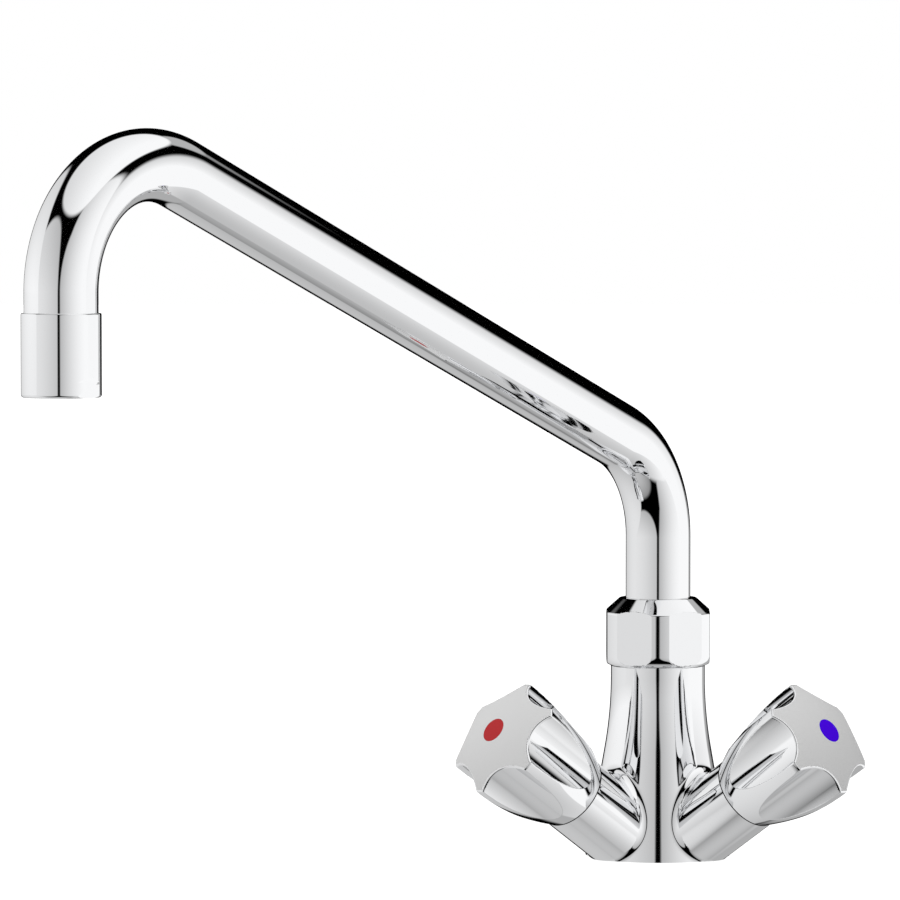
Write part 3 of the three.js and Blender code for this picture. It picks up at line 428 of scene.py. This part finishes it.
def nearest_on(path, points, batch=4000):
    """The nearest point of a closed path to each point, looked up a batch at a time."""
    nearest = np.empty(len(points), int)
    for first in range(0, len(points), batch):
        some = points[first:first + batch]
        apart = (some ** 2).sum(1)[:, None] - 2 * some @ path.T + (path ** 2).sum(1)
        nearest[first:first + batch] = apart.argmin(1)
    best = path[nearest]
    least = np.linalg.norm(points - best, axis=1)
    for step in (-1, 1):
        start = path[nearest]
        reach = path[(nearest + step) % len(path)] - start
        part = ((points - start) * reach).sum(1) / (reach ** 2).sum(1)
        spot = start + np.clip(part, 0, 1)[:, None] * reach
        apart = np.linalg.norm(points - spot, axis=1)
        closer = apart < least
        best[closer] = spot[closer]
        least = np.minimum(least, apart)
    return best


FILLET_SPAN = 2 * ARM_RADIUS + 6  # an arm's fillet lies this near the middle of its path


def casting(points):
    """Distance out from the column with its arms and fillets, and the way out."""
    off, out = off_column(points)
    for arm in ARMS.values():
        off_side, out_side = off_arm(points, arm)
        nearer = off_side < off
        off[nearer] = off_side[nearer]
        out[nearer] = out_side[nearer]
    for side, arm in ARMS.items():
        path = BALL_PATHS[side]
        close = np.flatnonzero(np.linalg.norm(points - path.mean(0), axis=1) < FILLET_SPAN)
        centre = nearest_on(path, points[close])
        to_point = points[close] - centre
        apart = np.linalg.norm(to_point, axis=1)
        way = to_point / np.maximum(apart, 1e-9)[:, None]
        to_arm = -off_arm(centre, arm)[1]
        to_column = -off_column(centre)[1]
        opening = (to_arm * to_column).sum(1)
        between = ((way * to_arm).sum(1) > opening) & ((way * to_column).sum(1) > opening)
        between &= apart < 3 * ARM_FILLET  # and not deep inside the casting
        chosen = close[between]
        off[chosen] = ARM_FILLET - apart[between]
        out[chosen] = -way[between]
    return off, out


def shown(bm, name, finish, body, slot, node, *matrices, sharp=25, surface=None):
    """The finished piece, in place of its node. Edges over the sharp angle in degrees stay
    sharp. With a surface, the skin takes the surface's own way out as its normals."""
    for face in bm.faces:
        face.smooth = True
    for edge in bm.edges:
        edge.smooth = len(edge.link_faces) == 2 and edge.calc_face_angle() < radians(sharp)
    mesh = bpy.data.meshes.new(name)
    bm.to_mesh(mesh)
    bm.free()
    if surface:
        points = np.empty(len(mesh.vertices) * 3)
        mesh.vertices.foreach_get("co", points)
        off, out = surface(points.reshape(-1, 3))
        corners = np.empty(len(mesh.loops) * 3)
        mesh.corner_normals.foreach_get("vector", corners)
        corners = corners.reshape(-1, 3)
        owner = np.empty(len(mesh.loops), int)
        mesh.loops.foreach_get("vertex_index", owner)
        skin = (np.abs(off[owner]) < 0.01) & ((out[owner] * corners).sum(1) > 0.9)
        corners[skin] = out[owner[skin]]
        mesh.normals_split_custom_set(corners)
    for matrix in matrices:
        mesh.transform(matrix)
    mesh.materials.append(finish)
    made = bpy.data.objects.new(name, mesh)
    scene.collection.objects.link(made)
    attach(made, body)
    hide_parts(node)
    return made


CHROME_COLOUR = (0.87, 0.875, 0.885, 1)

chrome, plating = material("chrome")
place = plating.node("ShaderNodeTexCoord", output="Object")
haze = plating.node("ShaderNodeTexNoise", {"Vector": place, "Scale": 90.0, "Detail": 3.0})
wipe = plating.node("ShaderNodeTexNoise", {"Vector": place, "Scale": 1400.0, "Detail": 2.0})
relief = plating.node("ShaderNodeBump", {"Height": wipe, "Strength": 0.02, "Distance": 0.00002})
gloss = plating.node("ShaderNodeBsdfPrincipled", {
    "Base Color": CHROME_COLOUR,
    "Metallic": 1.0,
    "Roughness": 0.02 + haze * 0.03,
    "Normal": relief,
})
plating.node("ShaderNodeOutputMaterial", {"Surface": gloss})

foot = BASE_RADIUS + PAST_END * math.tan(FLARE_ANGLE)
flare = [
    (flare_centre - flare_radius * math.cos(FLARE_ANGLE * part),
     FLARE_TOP - flare_radius * math.sin(FLARE_ANGLE * part))
    for part in np.linspace(1, 0, 25)
]
column = turned([(0, -PAST_END), (foot, -PAST_END), *flare,
                 (COLUMN_RADIUS, SHOULDER + PAST_END), (0, SHOULDER + PAST_END)])
arm_blanks = [placed(rod(ARM_RADIUS, 0, ARM_LENGTH + PAST_END), arm) for arm in ARMS.values()]
body = settled(remeshed(joined(column, arm_blanks), BODY_GRAIN), casting)
trimmed(body, (0, 0, 0), (0, 0, -1), 2 * BASE_RADIUS)
trimmed(body, (0, 0, SHOULDER), (0, 0, 1), BASE_RADIUS)
for arm in ARMS.values():
    trimmed(body, arm @ Vector((0, 0, ARM_LENGTH)), arm.col[2].to_3d(), 1.5 * ARM_RADIUS)

spigot = turned([
    (0, SHOULDER - SPIGOT_ROOT), (SPIGOT_RADIUS, SHOULDER - SPIGOT_ROOT),
    (SPIGOT_RADIUS, SPIGOT_TOP - SPIGOT_CHAMFER), (SPIGOT_RADIUS - SPIGOT_CHAMFER, SPIGOT_TOP),
    (0, SPIGOT_TOP),
])
bores = turned([
    (0, MIXING_FLOOR), (MIXING_RADIUS, MIXING_FLOOR), (MIXING_RADIUS, SOCKET_FLOOR),
    (SOCKET_RADIUS, SOCKET_FLOOR), (SOCKET_RADIUS, SPIGOT_TOP + PAST_CUT),
    (0, SPIGOT_TOP + PAST_CUT),
])
groove = turned([
    (SEAL_GROOVE_INNER, -PAST_CUT), (SEAL_GROOVE_OUTER, -PAST_CUT),
    (SEAL_GROOVE_OUTER, SEAL_GROOVE_DEPTH), (SEAL_GROOVE_INNER, SEAL_GROOVE_DEPTH),
])
stud_hole = placed(rod(STUD_HOLE_RADIUS, -PAST_CUT, STUD_HOLE_DEPTH, SMALL_ROUND),
                   Matrix.Translation((0, STUD_HOLE_OFFSET, 0)))
tools = [groove, stud_hole]
for arm in ARMS.values():
    chamber_end = VALVE_SEAT + CHAMBER_LENGTH
    arm_end = ARM_LENGTH + PAST_CUT
    chamber = turned([
        (0, FEED_START), (FEED_RADIUS, FEED_START), (FEED_RADIUS, VALVE_SEAT),
        (CHAMBER_RADIUS, VALVE_SEAT), (CHAMBER_RADIUS, chamber_end), (HEADWORK_BORE, chamber_end),
        (HEADWORK_BORE, arm_end), (0, arm_end),
    ])
    tools.append(placed(chamber, arm))
    below = arm.col[2].to_3d()
    below.z = 0
    inlet = rod(INLET_RADIUS, -PAST_CUT, INLET_DEPTH, SMALL_ROUND)
    tools.append(placed(inlet, Matrix.Translation(below.normalized() * INLET_OFFSET)))
    start = arm @ Vector((0, OUTFLOW_LIFT, VALVE_SEAT + OUTFLOW_START))
    reach = Vector((0, 0, MIXING_FLOOR + 2 * OUTFLOW_RADIUS)) - start
    outflow = rod(OUTFLOW_RADIUS, 0, reach.length, SMALL_ROUND)
    aim = reach.to_track_quat("Z", "Y").to_matrix().to_4x4()
    tools.append(placed(outflow, Matrix.Translation(start) @ aim))
body = joined(joined(body, [spigot]), [joined(bores, tools)], "DIFFERENCE")
shown(body, "mixer_body_skin", chrome, "mixer", "chrome", "mixer_body", TO_METRES,
      surface=casting)

# ---------------------------------------------------------------- union nut
# Turned from hexagon brass and chromed: a broad chamfer on top, corners turned down, and a
# rounded lower edge. It screws on the spigot and holds the spout down.

NUT_FOOT = 64.9
NUT_TOP = 87.8
NUT_FLAT = 17.4  # half the distance across the flats
NUT_ROUND = 18.6  # what its corners are turned down to
NUT_CORNER = radians(-89)  # where one of its six corners stands
NUT_CHAMFER_HEIGHT = 5
NUT_CHAMFER_DEPTH = 5.6
NUT_FOOT_INSET = 2.4  # rounding of the lower edge, inwards
NUT_FOOT_RISE = 3.7  # and upwards
NUT_EASE = 0.3  # rounding of the chamfer's edges
NUT_FLAT_EASE = 0.25  # rounding where the flats meet the turned form
NUT_HOLE = 11.3
NUT_THREAD = 13.4
NUT_WEB = 3.3  # thickness over the slide ring
NUT_LINE_START = NUT_HOLE - 3  # the outer line starts and ends well inside the hole
FINE_GRAIN = 0.32  # width of a face of the nut and the knobs


def line(corners, steps=8):
    """A profile with rounded corners: points, and the way out at each of them.

    A corner is (radius, height) or (radius, height, setback before, setback after)."""
    points, normals = [], []
    places = [np.array(corner[:2], float) for corner in corners]
    for index, corner in enumerate(corners):
        here = places[index]
        before = places[index - 1] - here if index else None
        after = places[index + 1] - here if index + 1 < len(corners) else None
        for way in (before, after):
            if way is not None:
                way /= np.linalg.norm(way)
        if len(corner) == 2:
            for travel in (before, after):
                if travel is not None:
                    points.append(here)
                    run = travel if travel is after else -travel
                    normals.append((run[1], -run[0]))
            continue
        start, end = before * corner[2], after * corner[3]
        for angle in np.linspace(0, math.pi / 2, steps + 1):
            points.append(here + start * (1 - math.sin(angle)) + end * (1 - math.cos(angle)))
            run = end * math.sin(angle) - start * math.cos(angle)
            run /= np.linalg.norm(run)
            normals.append((run[1], -run[0]))
    return np.array(points), np.array(normals)


def off_turned(points, profile):
    """Distance out from a turned surface, and the way out."""
    places, normals = profile
    reach = np.hypot(points[:, 0], points[:, 1])
    flat = np.stack([reach, points[:, 2]], 1)
    least = np.full(len(flat), np.inf)
    off = np.empty(len(flat))
    way = np.empty((len(flat), 2))
    for index in range(len(places) - 1):
        run = places[index + 1] - places[index]
        length = run @ run
        if length < 1e-12:
            continue
        part = np.clip((flat - places[index]) @ run / length, 0, 1)[:, None]
        away = flat - places[index] - part * run
        apart = (away ** 2).sum(1)
        closer = apart < least
        least[closer] = apart[closer]
        normal = normals[index] + part * (normals[index + 1] - normals[index])
        normal /= np.linalg.norm(normal, axis=1)[:, None]
        off[closer] = (away * normal).sum(1)[closer]
        way[closer] = normal[closer]
    across = way[:, :1] * points[:, :2] / np.maximum(reach, 1e-9)[:, None]
    return off, np.hstack([across, way[:, 1:]])


def eased(first, second, radius):
    """Two surfaces that cut each other, with the edge between them rounded."""
    (off, out), (other_off, other_out) = first, second
    cosine = (out * other_out).sum(1)
    square = np.maximum(1 - cosine ** 2, 1e-6)
    near, far = off + radius, other_off + radius
    part = (near - cosine * far) / square
    other = (far - cosine * near) / square
    between = (part > 0) & (other > 0)
    sum_out = part[:, None] * out + other[:, None] * other_out
    length = np.maximum(np.linalg.norm(sum_out, axis=1), 1e-9)
    beyond = other_off > off
    off = np.where(between, length - radius, np.where(beyond, other_off, off))
    out = np.where(beyond[:, None], other_out, out)
    out = np.where(between[:, None], sum_out / length[:, None], out)
    return off, out


nut_line = line([
    (NUT_LINE_START, NUT_FOOT), (NUT_ROUND, NUT_FOOT, NUT_FOOT_INSET, NUT_FOOT_RISE),
    (NUT_ROUND, NUT_TOP - NUT_CHAMFER_HEIGHT, NUT_EASE, NUT_EASE),
    (NUT_ROUND - NUT_CHAMFER_DEPTH, NUT_TOP, NUT_EASE, NUT_EASE), (NUT_LINE_START, NUT_TOP),
])


def nut_surface(points):
    step = math.tau / 6
    angle = np.arctan2(points[:, 1], points[:, 0]) - NUT_CORNER - step / 2
    side = np.round(angle / step) * step + NUT_CORNER + step / 2
    out = np.stack([np.cos(side), np.sin(side), np.zeros(len(side))], 1)
    flats = ((points * out).sum(1) - NUT_FLAT, out)
    return eased(off_turned(points, nut_line), flats, NUT_FLAT_EASE)


def solid_of(profile, steps=128):
    """The solid inside a profile, closed on the axis."""
    places = [(float(radius), float(height)) for radius, height in profile[0]]
    return turned([(0, places[0][1]), *places, (0, places[-1][1])], steps)


def prism(sides, half_width, low, high, corner):
    """Upright prism with half its width over the flats, and one corner at the angle given."""
    blank = rod(half_width / math.cos(math.pi / sides), low, high, sides)
    return placed(blank, Matrix.Rotation(corner, 4, "Z"))


hexagon = prism(6, NUT_FLAT, NUT_FOOT - PAST_CUT, NUT_TOP + PAST_CUT, NUT_CORNER)
nut = joined(solid_of(nut_line), [hexagon], "INTERSECT")
nut = settled(remeshed(nut, FINE_GRAIN), nut_surface)
nut_bore = turned([
    (0, NUT_FOOT - PAST_CUT), (NUT_THREAD, NUT_FOOT - PAST_CUT), (NUT_THREAD, NUT_TOP - NUT_WEB),
    (NUT_HOLE, NUT_TOP - NUT_WEB), (NUT_HOLE, NUT_TOP + PAST_CUT), (0, NUT_TOP + PAST_CUT),
])
nut = joined(nut, [nut_bore], "DIFFERENCE")
shown(nut, "spout_nut_skin", chrome, "mixer", "chrome", "spout_nut", TO_METRES,
      surface=nut_surface)

# ---------------------------------------------------------------- spout tube
# Drawn brass tube, 22 mm across with a 1 mm wall, bent twice, polished and chromed. It is
# brazed over the tailpiece and swivels in the spigot.

TUBE_RADIUS = 11
TUBE_BORE = 10
TUBE_SIDES = 96
TUBE_FOOT = 82.7
RISER_TOP = 108.7
BEND_RADIUS = 38  # of both bends, on the tube's centreline
BEND_STEPS = 48
RETURN_BEND_STEPS = 72
SLOPE = radians(21.4)
RUN_LENGTH = 234.5
TUBE_END = 174.3
SWING = radians(38)  # to the left of the front, as it stands at rest

SPOUT = Matrix.Rotation(-math.pi / 2 - SWING, 4, "Z")  # the tube is drawn in the XZ plane
run = RUN_LENGTH * Vector((math.cos(SLOPE), 0, math.sin(SLOPE)))
bend_centre = Vector((BEND_RADIUS, 0, RISER_TOP))
return_bend_centre = bend_centre + run
REACH = return_bend_centre.x + BEND_RADIUS


def pushed(bm, section, travel):
    """Pushes a flat section on in a straight line, and gives back the section at its end."""
    grown = bmesh.ops.extrude_face_region(bm, geom=section)["geom"]
    ends = [part for part in grown if isinstance(part, bmesh.types.BMVert)]
    bmesh.ops.translate(bm, verts=ends, vec=travel)
    return grown


def bent(bm, section, centre, angle, steps):
    """The same round a bend about an axis along Y."""
    return bmesh.ops.spin(bm, geom=section, cent=centre, axis=(0, 1, 0), angle=angle,
                          steps=steps)["geom_last"]


tube = bmesh.new()
for radius in (TUBE_RADIUS, TUBE_BORE):
    bmesh.ops.create_circle(tube, segments=TUBE_SIDES, radius=radius)
bmesh.ops.bridge_loops(tube, edges=tube.edges)
placed(tube, Matrix.Translation((0, 0, TUBE_FOOT)))
wall = [*tube.verts, *tube.edges, *tube.faces]
wall = pushed(tube, wall, (0, 0, RISER_TOP - TUBE_FOOT))
wall = bent(tube, wall, bend_centre, math.pi / 2 - SLOPE, BEND_STEPS)
wall = pushed(tube, wall, run)
wall = bent(tube, wall, return_bend_centre, math.pi / 2 + SLOPE, RETURN_BEND_STEPS)
pushed(tube, wall, (0, 0, TUBE_END - return_bend_centre.z))
bmesh.ops.recalc_face_normals(tube, faces=tube.faces)
shown(tube, "spout_tube_skin", chrome, "spout", "chrome", "spout_tube", SPOUT, TO_METRES)

# ---------------------------------------------------------------- outlet housing
# Turned brass cap brazed over the tube's end, with two flats for a spanner. The lip below
# holds the aerator.

OUTLET_LOWEST = 163.6
OUTLET_TOP = 188.4
OUTLET_RADIUS = 11.9
OUTLET_MOUTH = 9.4  # opening in the lip
OUTLET_LIP = 1  # height of the lip
INSERT_BORE = 10.4
INSERT_STEP = 170  # holds the insert's flange, which the tube's end presses down
TUBE_GAP = 0.1
OUTLET_EDGE = 0.9  # rounding of the lower edge
FLAT_HALF = 11  # half the distance across the spanner flats
FLAT_HEIGHT = 4.6
FLAT_RUNOUT = 1.4  # height over which a flat runs out into the round
FLAT_REACH = 14  # half the size of the cutter

tube_way = TUBE_RADIUS + TUBE_GAP
lip_top = OUTLET_LOWEST + OUTLET_LIP
outlet_line = line([
    (OUTLET_MOUTH, lip_top), (OUTLET_MOUTH, OUTLET_LOWEST, 0.2, 0.2),
    (OUTLET_RADIUS, OUTLET_LOWEST, OUTLET_EDGE, OUTLET_EDGE), (OUTLET_RADIUS, OUTLET_TOP, 0.5, 0.3),
    (tube_way, OUTLET_TOP), (tube_way, INSERT_STEP), (INSERT_BORE, INSERT_STEP),
    (INSERT_BORE, lip_top),
], 6)


def outlet_surface(points):
    return off_turned(points, outlet_line)


OUTLET = SPOUT @ Matrix.Translation((REACH, 0, 0))
housing = turned([(float(radius), float(height)) for radius, height in outlet_line[0]], 192)
flat_top = OUTLET_LOWEST + FLAT_HEIGHT
runout_top = flat_top + FLAT_RUNOUT * (FLAT_REACH - FLAT_HALF) / (OUTLET_RADIUS - FLAT_HALF)
cutters = []
for side in (-1, 1):
    cutter = bmesh.new()
    outline = [(FLAT_HALF, OUTLET_LOWEST - PAST_CUT), (FLAT_REACH, OUTLET_LOWEST - PAST_CUT),
               (FLAT_REACH, runout_top), (FLAT_HALF, flat_top)]
    flat = cutter.faces.new([cutter.verts.new((-FLAT_REACH, side * y, z)) for y, z in outline])
    pushed(cutter, [flat], (2 * FLAT_REACH, 0, 0))
    bmesh.ops.recalc_face_normals(cutter, faces=cutter.faces)
    cutters.append(cutter)
housing = joined(housing, cutters, "DIFFERENCE")
shown(housing, "aerator_housing_skin", chrome, "spout", "chrome", "aerator_housing",
      OUTLET, TO_METRES, sharp=12, surface=outlet_surface)

# ---------------------------------------------------------------- knobs
# Die-cast, chromed: a domed face in satin finish, a curved barrel down to a skirt over the
# arm's end, and six scallops for the fingers. The knob is pushed on the spindle's splines.

# Heights are along the arm, from the column's axis.
SKIRT_FOOT = 47.6
KNOB_TOP = 88.4
KNOB_RADIUS = 20.6  # over the lobes
BARREL_PULL = (20.9, 65.7)  # pulls the curve from the skirt up to the face's edge
FACE_RADIUS = 42  # of the dome
FACE_CENTRE = KNOB_TOP - FACE_RADIUS
FACE_EDGE = FACE_CENTRE + math.sqrt(FACE_RADIUS ** 2 - KNOB_RADIUS ** 2)
LOBES = 6
LOBE_STEP = math.tau / LOBES
SCALLOP_RADIUS = 14.3
SCALLOP_CENTRE = 29.9
LOBE_EASE = 0.4  # rounding of the edges between barrel and scallops
FACE_EASE = 0.8  # and round the face
KNOB_CLOCK = radians(3.5)  # how far the upper lobe stands off the top
SKIRT_BORE = 11.6
KNOB_ROOF = 72.4
BOSS_RADIUS = 6.4
BOSS_FOOT = 65.7
SPINDLE_HOLE = 3.9
SPINDLE_HOLE_TOP = 75.4
SCREW_HOLE = 2.3
SCREW_SEAT = 78.4
SCREW_HEAD_HOLE = 3.7
BUTTON_HOLE = 4.3
BUTTON_SEAT = 85.4

satin, brush = material("satin_chrome")
place = brush.node("ShaderNodeTexCoord", output="Object")
haze = brush.node("ShaderNodeTexNoise", {"Vector": place, "Scale": 250.0, "Detail": 3.0})
grain = brush.node("ShaderNodeTexNoise", {"Vector": place, "Scale": 5000.0, "Detail": 2.0})
relief = brush.node("ShaderNodeBump", {"Height": grain, "Strength": 0.03, "Distance": 0.00002})
dull = brush.node("ShaderNodeBsdfPrincipled", {
    "Base Color": (0.72, 0.72, 0.72, 1),
    "Metallic": 0.1,
    "Roughness": 0.55 + haze * 0.05,
    "Specular IOR Level": 0.1,
    "Normal": relief,
})
brush.node("ShaderNodeOutputMaterial", {"Surface": dull})

skirt, pull, rim = np.array([(ARM_RADIUS, SKIRT_FOOT), BARREL_PULL, (KNOB_RADIUS, FACE_EDGE)])
parts = np.linspace(-0.06, 1.06, 57)[:, None]  # runs a little past both ends
barrel_points = (1 - parts) ** 2 * skirt + 2 * parts * (1 - parts) * pull + parts ** 2 * rim
barrel_run = (1 - parts) * (pull - skirt) + parts * (rim - pull)
barrel_run /= np.linalg.norm(barrel_run, axis=1)[:, None]
barrel = (barrel_points, np.stack([barrel_run[:, 1], -barrel_run[:, 0]], 1))


def off_face(points):
    away = points - np.array((0, 0, FACE_CENTRE))
    reach = np.maximum(np.linalg.norm(away, axis=1), 1e-9)
    return reach - FACE_RADIUS, away / reach[:, None]


def off_scallops(points):
    angle = np.arctan2(points[:, 0], points[:, 1]) / LOBE_STEP
    near = (np.floor(angle) + 0.5) * LOBE_STEP
    away = SCALLOP_CENTRE * np.stack([np.sin(near), np.cos(near)], 1) - points[:, :2]
    reach = np.maximum(np.linalg.norm(away, axis=1), 1e-9)
    out = np.hstack([away / reach[:, None], np.zeros((len(points), 1))])
    return SCALLOP_RADIUS - reach, out


def knob_surface(points):
    lobed = eased(off_turned(points, barrel), off_scallops(points), LOBE_EASE)
    return eased(lobed, off_face(points), FACE_EASE)


def dome(edge, points):
    """The face's line from a distance off the axis to the middle."""
    return [
        (FACE_RADIUS * math.sin(angle), FACE_CENTRE + FACE_RADIUS * math.cos(angle))
        for angle in np.linspace(math.asin(edge / FACE_RADIUS), 0, points)
    ]


sides = [(float(radius), float(height)) for radius, height in barrel_points
         if height < FACE_EDGE - 0.2]
knob = turned([(0, sides[0][1]), *sides, *dome(KNOB_RADIUS, 13)])
scallops = []
for lobe in range(LOBES):
    angle = (lobe + 0.5) * LOBE_STEP
    shift = SCALLOP_CENTRE * Vector((math.sin(angle), math.cos(angle), 0))
    scallop = rod(SCALLOP_RADIUS, SKIRT_FOOT - PAST_END, KNOB_TOP + PAST_END)
    scallops.append(placed(scallop, Matrix.Translation(shift)))
knob = settled(remeshed(joined(knob, scallops, "DIFFERENCE"), FINE_GRAIN), knob_surface)
trimmed(knob, (0, 0, SKIRT_FOOT), (0, 0, -1), KNOB_RADIUS)
hollow = turned([
    (0, SKIRT_FOOT - PAST_CUT), (SKIRT_BORE, SKIRT_FOOT - PAST_CUT), (SKIRT_BORE, KNOB_ROOF),
    (BOSS_RADIUS, KNOB_ROOF), (BOSS_RADIUS, BOSS_FOOT), (SPINDLE_HOLE, BOSS_FOOT),
    (SPINDLE_HOLE, SPINDLE_HOLE_TOP), (SCREW_HOLE, SPINDLE_HOLE_TOP), (SCREW_HOLE, SCREW_SEAT),
    (SCREW_HEAD_HOLE, SCREW_SEAT), (SCREW_HEAD_HOLE, BUTTON_SEAT), (BUTTON_HOLE, BUTTON_SEAT),
    (BUTTON_HOLE, KNOB_TOP + PAST_CUT), (0, KNOB_TOP + PAST_CUT),
])
knob = joined(knob, [hollow], "DIFFERENCE")
# The satin finish goes on the dome's own faces, and their rounded rim stays bright.
centres = np.array([face.calc_center_median() for face in knob.faces])
off, out = off_face(centres)
ways = np.array([face.normal for face in knob.faces])
on_dome = (np.abs(off) < 0.03) & ((out * ways).sum(1) > 0.995)
for face, dulled in zip(knob.faces, on_dome):
    face.material_index = int(dulled)
for side, arm in ARMS.items():
    clock = -KNOB_CLOCK if side == "cold" else KNOB_CLOCK
    made = shown(knob.copy(), side + "_knob_skin", chrome, side + "_handle", "chrome",
                 side + "_knob", Matrix.Rotation(clock, 4, "Z"), arm, TO_METRES,
                 surface=knob_surface)
    made.data.materials.append(satin)
knob.free()

# ---------------------------------------------------------------- index buttons
# Dyed plastic discs pressed in over the knob screw, flush with the face: red for hot, blue
# for cold.

INDEX_COLOURS = {"hot": (0.478, 0.040, 0.044, 1), "cold": (0.072, 0.004, 0.825, 1)}
BUTTON_RADIUS = 4.25
BUTTON_FOOT = 85.7

for side, arm in ARMS.items():
    dyed, dye = material(side + "_index")
    place = dye.node("ShaderNodeTexCoord", output="Object")
    haze = dye.node("ShaderNodeTexNoise", {"Vector": place, "Scale": 600.0, "Detail": 3.0})
    plastic = dye.node("ShaderNodeBsdfPrincipled", {
        "Base Color": INDEX_COLOURS[side],
        "Roughness": 0.5 + haze * 0.1,
        "Specular IOR Level": 0.0,
    })
    dye.node("ShaderNodeOutputMaterial", {"Surface": plastic})
    button = turned([(0, BUTTON_FOOT), (BUTTON_RADIUS, BUTTON_FOOT), *dome(BUTTON_RADIUS, 7)], 96)
    slot = "hot_red" if side == "hot" else "cold_blue"
    shown(button, side + "_index_button_skin", dyed, side + "_handle", slot,
          side + "_index_button", arm, TO_METRES)

# ---------------------------------------------------------------- inner parts
# What is hidden in the tap stays as the CAD makes it: brass headworks, spindles and tailpiece,
# steel clips, screws and screen, ceramic discs, rubber seals, and acetal rings and insert.
# Each kind gets its own finish: turned, ground, pressed or moulded.

# Colour, metallic, roughness, scale of the grain, and its depth in metres.
INNER_FINISHES = {
    "brass": ((0.60, 0.40, 0.13, 1), 1.0, 0.22, 1500.0, 0.00002),
    "steel": ((0.55, 0.55, 0.57, 1), 1.0, 0.25, 2500.0, 0.00001),
    "rubber": ((0.016, 0.016, 0.017, 1), 0.0, 0.62, 4000.0, 0.00003),
    "ceramic": ((0.85, 0.84, 0.80, 1), 0.0, 0.12, 3000.0, 0.000005),
    "acetal": ((0.80, 0.80, 0.78, 1), 0.0, 0.42, 2000.0, 0.00001),
}
inner_finishes = {}
for kind, (colour, metal, rough, grain_size, depth) in INNER_FINISHES.items():
    inner_finishes[kind], inner = material("inner_" + kind)
    place = inner.node("ShaderNodeTexCoord", output="Object")
    haze = inner.node("ShaderNodeTexNoise", {"Vector": place, "Scale": 300.0, "Detail": 3.0})
    grain = inner.node("ShaderNodeTexNoise", {"Vector": place, "Scale": grain_size, "Detail": 2.0})
    relief = inner.node("ShaderNodeBump", {"Height": grain, "Strength": 0.3, "Distance": depth})
    bulk = inner.node("ShaderNodeBsdfPrincipled", {
        "Base Color": colour,
        "Metallic": metal,
        "Roughness": rough + haze * 0.1,
        "Normal": relief,
    })
    inner.node("ShaderNodeOutputMaterial", {"Surface": bulk})
for piece in bpy.data.objects:
    for place in piece.material_slots:
        if place.material.name in inner_finishes:
            place.material = inner_finishes[place.material.name]
